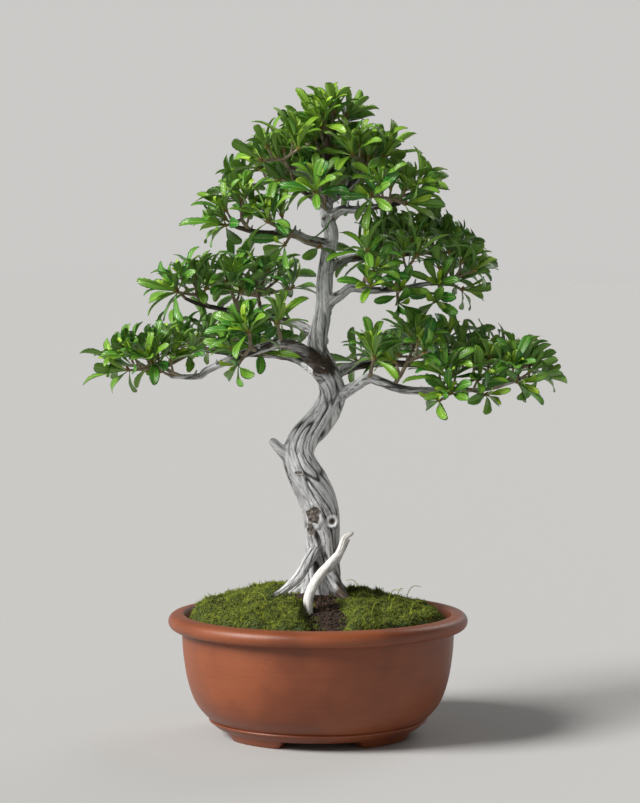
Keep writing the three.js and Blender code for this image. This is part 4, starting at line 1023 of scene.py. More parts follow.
def moss_tufts(patch, random):
    """Sprigs of short spikes all over a cushion, and a few on the soil just past its borders."""
    around = math.radians(patch["to"][0] - patch["from"][0])
    inner, outer = patch["inner"], patch["outer"]
    count = int(around * (outer ** 2 - inner ** 2) / 2 * MOSS_TUFTS["per_mm2"])
    v = (np.sqrt(random.uniform((inner / outer) ** 2, 1, count)) * outer - inner) / (outer - inner)
    u = random.uniform(0, 1, count)
    v = np.clip(v, 0, 1)
    loose = random.uniform(0, 1, count) > 0.8
    u = np.where(loose, 0.5 + (u - 0.5) * 1.12, u)
    v = np.where(loose, 1 - (1 - v) * 1.14, v)
    root, _ = moss_place(patch, u, v)
    ahead, _ = moss_place(patch, u + 0.004, v)
    out, _ = moss_place(patch, u, v + 0.01)
    normal = unit(np.cross(out - root, ahead - root))
    normal[normal[:, 2] < 0] *= -1
    normal[:, 2] = np.maximum(normal[:, 2], 0.25)
    tuft_tone = np.clip(0.5 + 0.5 * noise(root / 3.2, 23) + random.uniform(-0.25, 0.25, count), 0, 1)
    shapes = []
    for _ in range(MOSS_TUFTS["strands"]):
        direction = unit(normal + random.normal(0, 0.75, (count, 3)))
        direction[:, 2] = np.maximum(direction[:, 2], -0.1)
        length = random.uniform(*MOSS_TUFTS["length"], count)
        length = length * (1 + 0.9 * (random.uniform(0, 1, count) > 0.93))
        start = root - normal * 0.7 + random.uniform(-0.6, 0.6, (count, 3))
        tone = np.clip(tuft_tone + random.uniform(-0.2, 0.2, count), 0, 1)
        width = random.uniform(*MOSS_TUFTS["width"], count)
        shapes.append(spikes(start, start + direction * length[:, None], width, tone))
    return join(shapes)


def strand_marks(turn, along, girth):
    """A stray strand has no relief, and no painted shade at its foot: it is light all along."""
    return 0, {"strand": np.column_stack([0.85 + 0 * along, 1 + 0 * along, along])}


def stray_strands(random):
    """A few long fine strands that stand out of the moss and bend over."""
    shapes = []
    for degrees in STRAND_ANGLES:
        angle = math.radians(degrees + random.uniform(-5, 5))
        radius = random.uniform(50, 104)
        height = height_at(MOSS_PATCHES[0]["top"], radius)
        foot = np.array([radius * math.sin(angle), -radius * math.cos(angle), height])
        sweep = np.array([random.uniform(-1, 1), random.uniform(-1, 1), 0.0])
        reach = random.uniform(7, 15)
        rows = [[*(foot - [0, 0, 2]), 0.4]]
        for aside, rise, thin in STRAND_BEND:
            rows.append([*(foot + sweep * reach * aside + [0, 0, reach * rise]), thin])
        shapes.append(tube(rows, 6, 1.2, strand_marks))
    return join(shapes)


def build_moss(moss):
    """Each patch as a cushion with its tufts, and the stray strands."""
    random = np.random.default_rng(8)
    for patch in MOSS_PATCHES:
        add_piece(f"{patch['name']}_mat", moss_mat(patch), moss, "moss", patch["name"])
        add_piece(f"{patch['name']}_tufts", moss_tufts(patch, random), moss, "moss")
    add_piece("moss_strands", stray_strands(random), moss, "moss")


# ---------- trunk, deadwood and branches ----------


def limb_field(points, line, seed):
    """For each point: its distance outside a limb, and the wood relief there as if the limb were alone."""
    centres, radii = line[:, :3], line[:, 3]
    _, across, up = carried_frames(centres)
    tree = kdtree.KDTree(len(centres))
    for i, centre in enumerate(centres):
        tree.insert(centre, i)
    tree.balance()
    nearest = np.array([tree.find(point)[1] for point in points])
    offset = points - centres[nearest]
    turn = np.arctan2((offset * up[nearest]).sum(1), (offset * across[nearest]).sum(1))
    girth = radii[nearest]
    along = lengths_along(centres)[nearest]
    height, groove, grain = wood_relief(turn, along, girth, seed, twist=0.012, depth=1.1)
    return np.linalg.norm(offset, axis=1) - girth, height, groove, grain


def blended_limbs(points, limbs):
    """The wood where limbs run together: height, painted groove shade, grain, and each limb's share of each
    point.
    """
    fields = [limb_field(points, spline(limb, 0.8), 40) for limb in limbs]
    outside = np.array([field[0] for field in fields])
    share = np.exp(-(outside - outside.min(0)) / 1.6)
    share /= share.sum(0)
    height, groove = ((share * np.array([field[i] for field in fields])).sum(0) for i in (1, 2))
    grain = fields[0][3].copy()
    for field, part in zip(fields[1:], share[1:]):
        own = part > 0.5
        grain[own] = field[3][own] + 300
    return height, groove, grain, share


def knots(points, front):
    """Old scars on the trunk's front: the relief, and how scarred each place is."""
    x, _, z = points.T
    relief, scar = np.zeros(len(points)), np.zeros(len(points))
    rough = noise(points / 1.7, 31)
    for at_x, at_z, half_x, half_z in KNOT_SCARS:
        distance = np.hypot((x - at_x) / half_x, (z - at_z) / half_z) + 0.3 * noise(points / 3.5, 32)
        inside = front * ramp(distance, 1, 0.7)
        folds = np.abs(np.sin(distance * 5.5 + 2 * rough))
        relief += front * bump_at(distance, 1.1, 0.3) + inside * (1.6 * folds + rough * 0.7 - 1.5)
        scar = np.maximum(scar, inside * (0.75 - 0.3 * folds))
    return relief, np.clip(scar, 0, 1)


def cut_ring_knot(points, scar):
    """The stub of a cut branch: a flat ring that faces forwards round a rotten hole."""
    x, y, z = points.T
    distance = np.hypot(x - RING_KNOT["x"], z - RING_KNOT["z"]) / RING_KNOT["radius"]
    face = y[(distance < 0.3) & (y < 0)].min() - 1.6
    front = y < face + 12
    lip = face + 0.5 * bump_at(distance, 1, 0.25) + 4.6 * bump_at(distance, 0.05, 0.4)
    share = front * ramp(distance, 1.08, 0.88)
    points[:, 1] = y + share * (lip - y)
    # The scar mark is highest in the hole, which is painted near black as dark rot and as painted shade in it. A
    # dark outline round the ring is painted shade in its crease.
    scar[:] = scar * (1 - share) + front * (bump_at(distance, 0, 0.42) + 0.4 * bump_at(distance, 1.2, 0.1))
    return 1 - share


def remeshed(shapes, voxel, smoothing):
    """Overlapping closed shapes as one smooth skin of even quads."""
    piece = add_object("remesh_work", to_mesh("remesh_work", join(shapes)))
    remesh = piece.modifiers.new("remesh", "REMESH")
    remesh.mode = "VOXEL"
    remesh.voxel_size = voxel * MM
    smooth = piece.modifiers.new("smooth", "SMOOTH")
    smooth.factor = 0.5
    smooth.iterations = smoothing
    return evaluated(piece)


def normals_of(mesh):
    """The direction out of the mesh at each of its points."""
    flat = np.zeros(len(mesh.vertices) * 3, np.float32)
    mesh.vertices.foreach_get("normal", flat)
    return flat.reshape(-1, 3).astype(float)


def reshape_mesh(mesh, points, marks):
    """Moves a mesh's points and gives them marks."""
    mesh.vertices.foreach_set("co", (points * MM + POT_AXIS).astype(np.float32).ravel())
    add_marks(mesh, marks)
    mesh.update()
    mesh.shade_smooth()


def collar(name):
    """The trunk's own wood, drawn out over the start of a branch and then sinking under its skin."""
    rows = spline(BRANCHES[name], 1.5)
    trunk = spline(TRUNK, 2)
    outside = [np.min(np.linalg.norm(trunk[:, :3] - row[:3], axis=1) - trunk[:, 3]) for row in rows]
    rows = rows[:max(4, int(np.argmax(np.array(outside) > COLLAR["reach"])))]
    swell = np.linspace(COLLAR["start"], COLLAR["end"], len(rows))
    return [[*row[:3], row[3] * grow] for row, grow in zip(rows, swell)]


def trunk_x(z):
    """Where the middle of the trunk stands at a height."""
    rows = np.array(TRUNK, float)
    return np.interp(z, rows[:, 2], rows[:, 0])


def trunk_bark_and_shade(points):
    """How brown the trunk is: on its right, partly bark and partly painted shade on the side away from the key
    light; at its back and foot; and towards its young top.
    """
    x, y, z = points.T
    # Browner on the right: partly bark, partly painted shade.
    bark = 0.34 * ramp(x, 8, 18) * ramp(z, 240, 180)
    bark += 0.3 * ramp(z, 400, 460) + 0.2 * ramp(y, 0, 14)
    bark += 0.34 * ramp(z, 140, 114)
    bark += 0.3 * ramp(x, 2, 18) * ramp(z, 190, 140)
    bark += 0.7 * ramp(z, 486, 510)
    # Painted shadow: a brown patch on the right, around where the left low branch leaves the trunk and shades
    # it.
    bark += 0.34 * ramp(x, 2, 14) * bump_at(z, 330, 34)
    bark += 0.3 * ramp(x - trunk_x(z), 7, 15) * bump_at(z, 222, 42)
    armpit = np.linalg.norm((points - BRANCHES["left_low"][1][:3]) / [15, 18, 16], axis=1)
    return bark + 0.62 * np.exp(-armpit ** 2)


def build_trunk(wood):
    """The trunk with its dead stub, surface roots and branch collars, as one skin."""
    collars = {name: collar(name) for name in BRANCHES}
    limbs = [TRUNK, DEAD_STUB, *SURFACE_ROOTS, *collars.values()]
    mesh = remeshed([tube(limb, 32, 1.5) for limb in limbs], TRUNK_VOXEL, 10)
    points, normals = points_of(mesh), normals_of(mesh)
    height, groove, grain, share = blended_limbs(points, limbs)
    front = np.clip(-normals[:, 1] * 3.5, 0, 1) * (points[:, 1] < 0)
    scar_relief, scar = knots(points, front)
    calm = 1 - np.clip(scar * 1.5, 0, 1)
    points += normals * (height * calm + scar_relief)[:, None]
    calm *= cut_ring_knot(points, scar)
    bark = trunk_bark_and_shade(points)
    for part, name in zip(share[-len(collars):], collars):
        bark += part * (0.95 if name == "left_low" else 0.4 * BARK_COVER.get(name, BARK_COVER_REST))
    reshape_mesh(mesh, points, wood_marks(grain, groove * calm, np.clip(bark, 0, 0.9), np.clip(scar, 0, 1)))
    add_piece("trunk_wood", mesh, wood, "bark", "trunk")


def pale_relief(turn, along, girth):
    """Bleached wood without bark, with soft grooves and lighter painted shade in them."""
    height, groove, grain = wood_relief(turn, along, girth, 51, twist=0.03, depth=0.75)
    return height * 1.2, wood_marks(grain, groove * 0.6, -0.3)


def spur_relief(turn, along, girth):
    """Brown dead wood with some bark left."""
    height, groove, grain = wood_relief(turn, along, girth, 57)
    return height, wood_marks(grain, groove, 0.55)


def build_deadwood(wood):
    """The bleached jin that rises from the soil, and the brown spur behind it."""
    pieces = [tube(DEADWOOD, 36, 0.9, pale_relief), tube(DEADWOOD_SPUR, 24, 0.9, spur_relief)]
    add_piece("deadwood_jin", join(pieces), wood, "dead_wood", "deadwood")


def branch_bark(name, seed):
    """A branch's relief, with knobs, and how much bark covers it: more towards its end and underneath, and on
    the left low branch more near the trunk, partly as painted shade.
    """
    bark = BARK_COVER.get(name, BARK_COVER_REST)

    def relief(turn, along, girth):
        height, groove, grain = wood_relief(turn, along, girth, seed, twist=0.03, depth=0.9)
        lumps = limb_noise(turn, along, 0.9, 7, seed + 5)
        rough = limb_noise(turn, along, 2.6, 2.6, seed + 6)
        height = height + girth * 0.13 * np.maximum(lumps, 0) + 0.22 * rough
        near_trunk = np.exp(-((along / 52) ** 2)) * np.clip(along / 14 - 0.4, 0, 1)
        # Darker near the trunk on the left low branch: partly bark, partly painted shade.
        dark = 0.6 * near_trunk if name == "left_low" else 0
        return height, wood_marks(grain, groove, bark + dark + 0.0015 * along - 0.12 * (np.sin(turn) > 0.2))
    return relief


def cut_stubs(points, count, seed):
    """Short side twigs that were cut back, along the outer part of a branch."""
    line = spline(points, 2)
    stubs = []
    for i in range(count):
        row = line[int(len(line) * (0.28 + 0.6 * (i + hash01(seed + i)) / count))]
        turn = 2 * math.pi * hash01(seed + i * 3.1)
        sway = 0.5 * (hash01(seed + i * 1.7) - 0.5)
        out = unit(np.array([sway, math.cos(turn), abs(math.sin(turn)) + 0.2]))
        length = row[3] + 1.2 + 3.4 * hash01(seed + i * 2.3)
        middle = row[:3] + out * length * 0.6
        end = row[:3] + out * length + [0.6, 0, 0.6]
        stubs.append([[*row[:3], row[3] * 0.6], [*middle, row[3] * 0.4], [*end, row[3] * 0.22]])
    return stubs


def build_branches(wood):
    """Each branch with its own bark and a few cut stubs."""
    for index, (name, points) in enumerate(BRANCHES.items()):
        seed = 60 + 10 * index
        shapes = [tube(points, 28, 1.1, branch_bark(name, seed))]
        shapes += [tube(stub, 12, 1.1, branch_bark(name, seed + 3)) for stub in cut_stubs(points, 4, seed)]
        add_piece(f"branch_{name}_wood", join(shapes), wood, "bark", f"branch_{name}")


# ---------- shoots ----------

def sphere_rows(route, step=2.0):
    """A route of [x, y, z, radius] rows as spheres."""
    rows = []
    for a, b in zip(np.asarray(route, float), np.asarray(route, float)[1:]):
        count = max(2, math.ceil(np.linalg.norm(b[:3] - a[:3]) / step))
        rows.append(a + (b - a) * (np.arange(count + 1)[:, None] / count))
    return np.vstack(rows)


def room(spheres, obstacles):
    """The smallest gap between any sphere and any obstacle."""
    if len(obstacles) == 0:
        return 100.0
    gaps = np.linalg.norm(spheres[:, None, :3] - obstacles[None, :, :3], axis=2) - obstacles[None, :, 3]
    return float((gaps - spheres[:, None, 3]).min())


def limb_rows(name):
    """The centre line of the limb that a shoot grows on."""
    return np.array(TRUNK if name == "trunk" else BRANCHES[name], float)


def closest_on_limb(rows, target):
    """The point of a centre line that is closest to the target."""
    best = None
    for a, b in zip(rows[:, :3], rows[1:, :3]):
        t = np.clip(np.dot(target - a, b - a) / np.dot(b - a, b - a), 0, 1)
        point = a + (b - a) * t
        distance = np.linalg.norm(point - target)
        if best is None or distance < best[0]:
            best = (distance, point)
    return best[1]


def is_clear(route, others):
    """Whether a route keeps away from all the others' spheres."""
    return room(sphere_rows(route), others) > LEAF["clearance"]


def plan_twigs(shoot, others):
    """A twig from the limb to a fork, and one from the fork to each bud, clear of the other shoots' twigs."""
    hubs = np.array([bud["at"] for bud in shoot["buds"]], float)
    middle = hubs.mean(0)
    rows = limb_rows(shoot["limb"])
    sweep = SWEEP["trunk"] if shoot["limb"] == "trunk" else SWEEP["branch"]
    root = closest_on_limb(rows, middle + (rows[0, :3] - middle) * sweep)
    straight = (root + middle) / 2 + [0, 0, 2]
    forks = [straight + offset for offset in np.array(DETOURS, float)]
    stems = [[[*(root + (fork - root) * 0.4), TWIG["root"]], [*fork, TWIG["root"]]] for fork in forks]
    clear = [fork for fork, stem in zip(forks, stems) if is_clear(stem, others)]
    fork = (clear or [straight])[0]
    halfway = (root + fork) / 2 + [0, 0, -1.2]
    girths = [TWIG["root"], (TWIG["root"] + TWIG["fork"]) / 2, TWIG["fork"]]
    twigs = [[[*place, girth] for place, girth in zip((root, halfway, fork), girths)]]
    girths = [TWIG["fork"], (TWIG["fork"] + TWIG["tip"]) / 2, TWIG["tip"]]
    for hub in hubs:
        routes = []
        for offset in np.array(DETOURS, float):
            bend = (fork + hub) / 2 + offset
            routes.append([[*place, girth] for place, girth in zip((fork, bend, hub), girths)])
        free = [route for route in routes if is_clear(route, others)]
        twigs.append((free or routes)[0])
    spheres = np.vstack([sphere_rows(twig) for twig in twigs])
    plan = {"limb": shoot["limb"], "buds": list(shoot["buds"]), "hubs": list(hubs), "fork": fork,
            "twigs": twigs}
    return plan, np.vstack([others, spheres])


def near_bare_wood(place, margin=0):
    """Whether a place is too close to the trunk's bare part for leaves."""
    away = abs(place[0] - trunk_x(place[2]))
    return place[2] < BARE_WOOD["below"] and away < BARE_WOOD["away"] + margin


def add_bud(plan, twig, hub):
    """Adds a small bud at the end of a twig of its own, and gives the spheres that stand for that twig."""
    plan["twigs"].append(twig)
    plan["hubs"].append(hub)
    plan["buds"].append({"at": list(hub), "side": True})
    return sphere_rows([[*twig[0][:3], 1.0], [*hub, 2.4]])


def side_hub(start, along, others, turned):
    """The roomiest place round a twig for a side bud, with a liking for its upper side."""
    best = None
    for k in range(8):
        out = turn_about(unit(np.cross(along, [0.3, 1.0, 0.2])), along, 2 * math.pi * (k / 8 + turned))
        out = unit(out + 0.6 * along + [0, 0, 0.5])
        hub = start + out * SIDE_BUD["reach"]
        gap = room(np.array([[*hub, 3.0]]), others) + 5 * out[2]
        if best is None or gap > best[0]:
            best = (gap, hub)
    return best[1]


def add_side_buds(plan, others, seed):
    """Short side twigs with a bud each, where a twig is long enough to show bare."""
    if plan["limb"] not in FULL_LIMBS and "tips" not in plan["buds"][0]:
        return others
    for i, twig in enumerate(list(plan["twigs"])):
        rows = spline(twig, 1.5)
        along = unit(rows[-1, :3] - rows[0, :3])
        for place in ((0.5,) if len(rows) < 22 else (0.34, 0.7)):
            start = rows[int(place * (len(rows) - 1)), :3]
            hub = side_hub(start, along, others, hash01(seed + i))
            if near_bare_wood(hub, 14):
                continue
            middle = (start + hub) / 2 + [0, 0, -0.6]
            spheres = add_bud(plan, [[*start, 1.2], [*middle, 1.05], [*hub, 0.9]], hub)
            others = np.vstack([others, spheres])
    return others


def add_end_bud(plan, others):
    """A bud that carries on from the very end of the plan's branch."""
    before, end = np.array(BRANCHES[plan["limb"]][-2:], float)
    hub = end[:3] + (unit(end[:3] - before[:3]) + [0, 0, 0.45]) * END_REACH
    middle = (end[:3] + hub) / 2
    spheres = add_bud(plan, [[*end[:3], end[3] * 0.9], [*middle, 1.15], [*hub, 0.9]], hub)
    return np.vstack([others, spheres])


def bud_axis(hub, fork):
    """The way a bud faces: on from its fork, and up towards the light."""
    return unit(unit(hub - fork) + np.array([0, -0.25 if hub[1] < 0 else 0.2, 0.8]))


def tip_reaches(bud, seed):
    """The reaches of a bud's own leaves, from hub to tip."""
    reaches = []
    for i, (x, z) in enumerate(bud["tips"]):
        shown = math.hypot(x, z)
        full = max(shown, LEAF["length"] * (0.85 + 0.25 * hash01(seed + i)))
        lean = math.sqrt(full * full - shown * shown) * 0.9
        reaches.append(np.array([x, -lean if i % 2 == 0 else lean, z]))
    return reaches


def ring_reaches(axis, seed, count, open_angle, length):
    """A turned ring of reaches around the axis."""
    side = np.cross([0, 0, 1.0], axis)
    side = np.array([1.0, 0, 0]) if np.linalg.norm(side) < 0.7 and abs(axis[2]) > 0.999 else unit(side)
    up = np.cross(axis, side)
    reaches = []
    for i in range(count):
        turn = 2 * math.pi * (i / count + 0.1 * (hash01(seed + i) - 0.5) + hash01(seed + 0.5))
        lean = open_angle + 0.3 * (hash01(seed + i + 0.3) - 0.5)
        reach = (side * math.cos(turn) + up * math.sin(turn)) * math.sin(lean) + axis * math.cos(lean)
        reaches.append(reach * length * (0.82 + 0.28 * hash01(seed + i + 0.7)))
    return reaches


def plan_bud(bud, hub, fork, seed):
    """The way a bud faces, and the reaches of its main leaves."""
    axis = bud_axis(hub, fork)
    if "side" in bud:
        return axis, ring_reaches(axis, seed, SIDE_BUD["leaves"], 0.9, SIDE_BUD["length"])
    if "tips" not in bud:
        return axis, ring_reaches(axis, seed, PAD_RING, 1.15, LEAF["length"])
    reaches = tip_reaches(bud, seed)
    for reach in reaches:
        axis = axis + 0.4 * unit(reach)
    return unit(axis), reaches


def pad_shoots(pad):
    """A pad's buds, shared out among its shoots by their direction from its middle."""
    shoots = [{"limb": pad["limb"], "buds": []} for _ in range(pad["shoots"])]
    for i in range(pad["buds"]):
        spread = math.sqrt((i + 0.5) / pad["buds"])
        turn = i * GOLDEN_ANGLE
        x = pad["centre"][0] + pad["rx"] * spread * math.cos(turn)
        y = pad["centre"][1] + pad["ry"] * spread * math.sin(turn)
        z = pad["centre"][2] + pad["dome"] * (1 - spread * spread) + 6 * (hash01(i + pad["rx"]) - 0.5)
        shoots[int(turn / (2 * math.pi) % 1 * pad["shoots"])]["buds"].append({"at": [x, y, z]})
    return shoots


def leaf_axes(reach, axis):
    """A leaf's directions: along it, across it, and out of its upper face, which faces the bud's axis."""
    along = unit(reach)
    across = np.cross(along, axis)
    if np.dot(across, across) < 0.01:
        across = np.cross([1.0, 0, 0], along)
    across = unit(across)
    return along, across, np.cross(across, along)


def leaf_spheres(hub, reach, axis):
    """A leaf as a few small spheres, for keeping leaves apart."""
    _, across, _ = leaf_axes(reach, axis)
    rows = []
    for place, half in ((0.35, 2), (0.55, 4.4), (0.72, 5.4), (0.88, 4), (1.0, 0)):
        for side in (-1, 0, 1):
            rows.append([*(hub + reach * place + across * half * side), 0.5])
    return np.array(rows)


def settle_leaf(hub, reach, axis, obstacles):
    """The first small turn of a leaf that leaves it clear of everything near it, or else the roomiest."""
    best = None
    for turn, lift in NUDGES:
        turned = turn_about(reach, axis, turn)
        turned = turn_about(turned, unit(np.cross(turned, axis)), lift)
        spheres = leaf_spheres(hub, turned, axis)
        gap = room(spheres, obstacles)
        if best is None or gap > best[0]:
            best = (gap, turned, spheres)
        if gap > LEAF["clearance"]:
            break
    return best


def cad_reach(hub, reach, corners):
    """Where the CAD has this leaf, or None where it has none."""
    offsets = corners - hub
    lengths = np.linalg.norm(offsets, axis=1)
    cosines = offsets @ unit(reach) / np.maximum(lengths, 1e-6)
    fits = (np.abs(lengths / np.linalg.norm(reach) - 1) < 0.03) & (cosines > math.cos(0.6))
    if not fits.any():
        return None
    return offsets[fits][np.argmax(cosines[fits])]


def stem_leaves(hub, fork, seed):
    """Where older leaves leave the twig below a bud, and their reaches."""
    back = unit(fork - hub)
    reaches = ring_reaches(-back, seed, STEM_LEAVES["count"], 1.15, STEM_LEAVES["length"])
    feet = [hub + back * (STEM_LEAVES["first"] + i * STEM_LEAVES["step"]) for i in range(len(reaches))]
    return list(zip(feet, reaches))


def wanted_leaves(bud, hub, fork, seed):
    """A bud's leaves in the order they are placed: (foot, reach, axis, youth, whether the CAD has it)."""
    axis, reaches = plan_bud(bud, hub, fork, seed)
    main = "side" not in bud
    fresh = 0.1 + 0.25 * ramp(hub[2], 440, 560)
    wanted = [(hub, reach, axis, fresh + 0.3 * hash01(seed + i * 1.3), main)
              for i, reach in enumerate(reaches)]
    young = ring_reaches(axis, seed + 3, 3, 0.48, LEAF["length"] * (0.64 if main else 0.5))
    wanted += [(hub, reach, axis, 0.7 + 0.3 * hash01(seed + i), False) for i, reach in enumerate(young)]
    if main:
        for i, (foot, reach) in enumerate(stem_leaves(hub, fork, seed + 9)):
            wanted.append((foot, reach, axis, 0.12 * hash01(seed + i), False))
    if main and "tips" not in bud:
        lower = ring_reaches(axis, seed + 5, PAD_LOWER_RING, 1.75, LEAF["length"] * 0.9)
        wanted += [(hub, reach, axis, 0.05, False) for reach in lower]
    return wanted


def plan_shoots():
    """Every shoot's twigs and buds, and the spheres that stand for all the twigs."""
    planned, others = [], np.zeros((0, 4))
    for shoot in SHOOTS + [shoot for pad in PADS for shoot in pad_shoots(pad)]:
        plan, others = plan_twigs(shoot, others)
        planned.append(plan)
    finished = {"trunk"}
    for s, plan in enumerate(planned):
        others = add_side_buds(plan, others, s * 17)
        if plan["limb"] not in finished:
            others = add_end_bud(plan, others)
            finished.add(plan["limb"])
    return planned, others


def place_leaves(wanted, corners, near):
    """Settles a bud's leaves in turn: foot, reach, axis and youth of each, and their spheres."""
    leaves, own = [], []
    for foot, reach, axis, youth, in_cad in wanted:
        if not in_cad and (reach[2] < -EXTRA_LEAF["droop"] or near_bare_wood(foot + reach)):
            continue
        found = cad_reach(foot, reach, corners) if in_cad else None
        if found is None:
            gap, found, spheres = settle_leaf(foot, reach, axis, np.vstack([near] + own))
            if gap < -EXTRA_LEAF["overlap"] and not in_cad:
                continue
        else:
            spheres = leaf_spheres(foot, found, axis)
        own.append(spheres)
        leaves.append((foot, found, axis, youth))
    return leaves, own


def plan_leaves():
    """Every shoot with its twigs and its leaves: foot, reach, axis and youth."""
    planned, others = plan_shoots()
    wood = np.vstack([sphere_rows(rows, 4) for rows in [TRUNK, DEAD_STUB, *BRANCHES.values()]])
    placed = [wood, others]
    for s, plan in enumerate(planned):
        corners = points_of(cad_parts[f"shoot_{s + 1:02d}"].data)
        plan["leaves"] = []
        for b, (bud, hub) in enumerate(zip(plan["buds"], plan["hubs"])):
            everything = np.vstack(placed)
            distance = np.linalg.norm(everything[:, :3] - hub, axis=1)
            near = everything[(distance < 62) & (distance > 6)]
            wanted = wanted_leaves(bud, hub, plan["fork"], s * 31 + b * 7)
            leaves, own = place_leaves(wanted, corners, near)
            plan["leaves"] += leaves
            placed += own
    return planned


def leaf_grid():
    """A leaf's flat plan: how far along and across each place is, on the upper face and then the lower."""
    v, u = np.meshgrid(np.linspace(0, 1, LEAF_ROWS), np.linspace(-1, 1, LEAF_COLUMNS), indexing="ij")
    v = 1 - (1 - v) ** 1.15
    inner = np.zeros((LEAF_ROWS, LEAF_COLUMNS), bool)
    inner[1:-1, 1:-1] = True
    lower = np.arange(LEAF_ROWS * LEAF_COLUMNS)
    lower[inner.ravel()] = LEAF_ROWS * LEAF_COLUMNS + np.arange(inner.sum())
    faces = grid_faces(LEAF_ROWS, LEAF_COLUMNS)
    quads = np.vstack([faces[:, ::-1], lower[faces]])
    v, u, inner = v.ravel(), u.ravel(), inner.ravel()
    along = np.concatenate([v, v[inner]])
    across = np.concatenate([u, u[inner]])
    under = np.concatenate([np.zeros(len(v)), np.ones(inner.sum())])
    skin = np.concatenate([inner, inner[inner]]).astype(float)
    return along, across, under, skin, quads


def leaf_rise(u, v, under, skin, width, length, youth, seed):
    """How far each place of a blade is above its chord: folded, arched and waved, and curled at its tip."""
    fold = 0.42 + 0.35 * youth + 0.2 * (hash01(seed + 0.2) - 0.5)
    arch = length * (0.07 + 0.07 * (hash01(seed + 0.4) - 0.35)) * (1 - 0.6 * youth)
    wave = 0.5 * np.sin(v * 9 + seed) * u * u * np.sin(np.pi * v)
    rise = fold * width * np.abs(u) ** 1.3 - 0.16 * width * u * u + arch * 4 * v * (1 - v) + wave
    curl = 0.8 * length * np.clip(v - 0.75, 0, 1) ** 2 * (0.5 + hash01(seed + 0.8))
    thick = LEAF["thick"] * skin * (1 - 0.5 * np.abs(u)) * np.where(under > 0, -1, 1)
    midrib = 0.22 * skin * np.exp(-((u / 0.16) ** 2)) * (1 - v) * np.where(under > 0, 1.6, 0.8)
    return rise - curl + thick / 2 - midrib


def leaf_shape(hub, reach, axis, youth, seed):
    """One blade: narrow at its stalk, widest past the middle, with a blunt toothed tip, folded and arched."""
    v, u, under, skin, quads = leaf_grid()
    along, across, face = leaf_axes(reach, axis)
    length = np.linalg.norm(reach)
    grown = min(1, 0.35 + 0.65 * length / LEAF["length"])
    half = LEAF["width"] / 2 * grown * (0.9 + 0.2 * hash01(seed)) * (1 - 0.3 * youth)
    tooth = 1 + 0.06 * np.cos(v * (LEAF_ROWS - 1) * math.pi) * (np.abs(u) > 0.99) * (v > 0.55)
    width = half * height_at(LEAF_OUTLINE, v) * tooth
    rise = leaf_rise(u, v, under, skin, width, length, youth, seed)
    twist = 0.7 * (hash01(seed + 0.6) - 0.5) * v
    sideways = across * (width * u * np.cos(twist))[:, None] + face * (width * u * np.sin(twist))[:, None]
    tip_teeth = 0.022 * length * (v > 0.99) * (0.6 * np.cos(u * 3 * math.pi) - 0.4 * u * u)
    points = hub + along * (v * length + tip_teeth)[:, None] + sideways + face * rise[:, None]
    blade = np.stack([np.full(len(v), youth), u, v], -1)
    return Shape(points, quads, blade=blade, under=np.repeat(under[:, None], 3, axis=1))


def bud_scales(hub, axis, seed):
    """A few pointed scales round the growing tip."""
    scales = []
    for i in range(5):
        lean = ring_reaches(axis, seed + i, 1, 0.35 + 0.25 * (i > 1), 4.6)[0]
        rows = [[*(hub - unit(axis) * 1.0), 0.9], [*(hub + lean * 0.45), 1.0], [*(hub + lean), 0.3]]
        scales.append(tube(rows, 8, 0.9))
    return scales


def twig_bark(seed):
    """Young stems: thin bark with rings where leaves have fallen."""
    def relief(turn, along, girth):
        rings = 0.24 * np.maximum(0, np.sin(along * 1.15 + seed)) ** 4
        rough = 0.16 * limb_noise(turn, along, 1.5, 1.8, seed)
        grain = np.column_stack([np.cos(turn) * girth, np.sin(turn) * girth, along])
        return rings + rough, wood_marks(grain, 0.1, 0.5)
    return relief


def build_shoots(leaf, bark, scales):
    """Each shoot's leaves, twigs and bud scales."""
    for s, plan in enumerate(plan_leaves()):
        name = f"shoot_{s + 1:02d}"
        blades = [leaf_shape(*row, seed=s * 57.3 + i) for i, row in enumerate(plan["leaves"])]
        add_piece(f"{name}_leaves", join(blades), leaf, "leaves", name)
        twigs = [tube(twig, 12, 0.9, twig_bark(s * 9 + i)) for i, twig in enumerate(plan["twigs"])]
        add_piece(f"{name}_twigs", join(twigs), bark, "bark")
        buds = [scale for hub in plan["hubs"] for scale in bud_scales(hub, bud_axis(hub, plan["fork"]), s)]
        add_piece(f"{name}_buds", join(buds), scales, "leaves")


# ---------- camera, light and floor ----------


def build_camera():
    """A long lens in front of the pot that looks slightly down."""
    data = bpy.data.cameras.new("camera")
    data.sensor_fit = "VERTICAL"
    data.sensor_height = 36
    data.lens = CAMERA["lens"]
    camera = bpy.data.objects.new("camera", data)
    bpy.context.scene.collection.objects.link(camera)
    camera.location = np.array([CAMERA["x"], -CAMERA["distance"], CAMERA["z"]]) * MM + POT_AXIS
    camera.rotation_euler = (math.radians(90 - CAMERA["down"]), 0, 0)
    bpy.context.scene.camera = camera


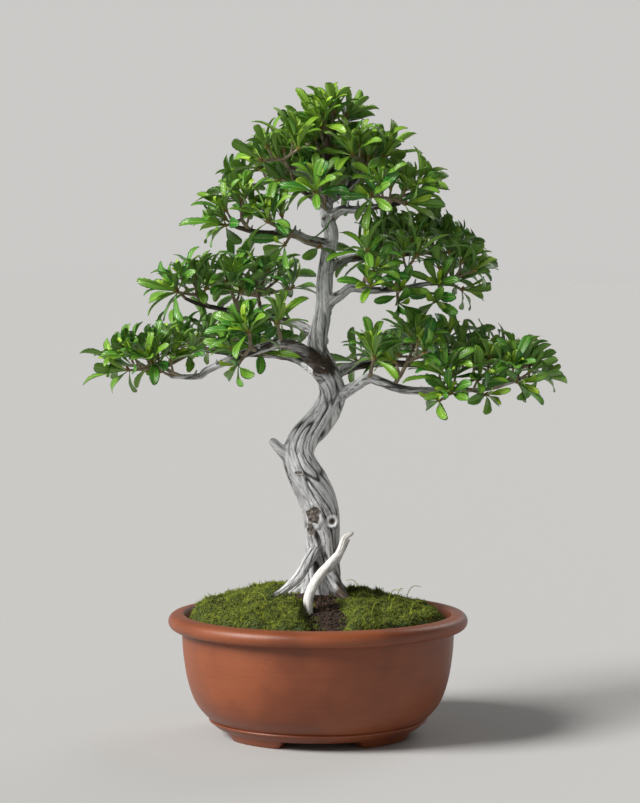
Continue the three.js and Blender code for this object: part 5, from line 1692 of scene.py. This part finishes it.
def build_lights():
    """Two wide suns: one from the left, and a faint one from behind on the right."""
    for name, source, width, strength, colour in LIGHTS:
        data = bpy.data.lights.new(name, "SUN")
        data.angle = math.radians(width)
        data.energy = strength
        data.color = colour
        light = bpy.data.objects.new(name, data)
        bpy.context.scene.collection.objects.link(light)
        light.rotation_euler = Vector(source).to_track_quat("Z", "Y").to_euler()


def build_backdrop():
    """An even pale studio that is brightest near the horizon, where it meets the floor."""
    world = bpy.data.worlds.new("studio")
    world.use_nodes = True
    tree = world.node_tree
    place = tree.nodes.new("ShaderNodeTexCoord")
    split = tree.nodes.new("ShaderNodeSeparateXYZ")
    shift = tree.nodes.new("ShaderNodeMapRange")
    ramp = tree.nodes.new("ShaderNodeValToRGB")
    shift.inputs["From Min"].default_value = -1
    tree.links.new(place.outputs["Generated"], split.inputs[0])
    tree.links.new(split.outputs["Z"], shift.inputs["Value"])
    tree.links.new(shift.outputs[0], ramp.inputs[0])
    tree.links.new(ramp.outputs[0], tree.nodes["Background"].inputs["Color"])
    stops = ramp.color_ramp.elements
    while len(stops) < len(BACKDROP):
        stops.new(0.5)
    for stop, (height, level) in zip(stops, BACKDROP):
        stop.position = (height + 1) / 2
        stop.color = (level, level * 0.99, level * 0.965, 1)
    bpy.context.scene.world = world


def build_stage():
    """The floor that the pot stands on, as wide as the view is deep."""
    half = FLOOR["half"]
    corners = [[-half, -half, 0], [half, -half, 0], [half, half, 0], [-half, half, 0]]
    floor = to_mesh("floor", Shape(corners, [[0, 1, 2, 3]]))
    floor.materials.append(studio_finish("floor", rgb(*FLOOR["colour"])))
    add_object("floor", floor)
    bpy.context.scene.view_settings.view_transform = "Standard"


def assign_finish(node, material):
    """Gives a CAD node that stays a better finish."""
    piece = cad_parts[node]
    for place in piece.material_slots:
        place.material = material


# ---------- the whole object ----------

build_camera()
build_lights()
build_backdrop()
build_stage()

build_pot(clay_finish())
build_screens(plastic_finish())
assign_finish("drainage_grit", grit_finish())
soil_material = soil_finish()
build_soil(soil_material)
build_crumbs(soil_material)
build_moss(moss_finish())

old_wood = wood_finish("old_wood")
build_trunk(old_wood)
build_deadwood(wood_finish("bleached_wood"))
build_branches(old_wood)
build_shoots(leaf_finish(), wood_finish("young_bark"), bud_finish())
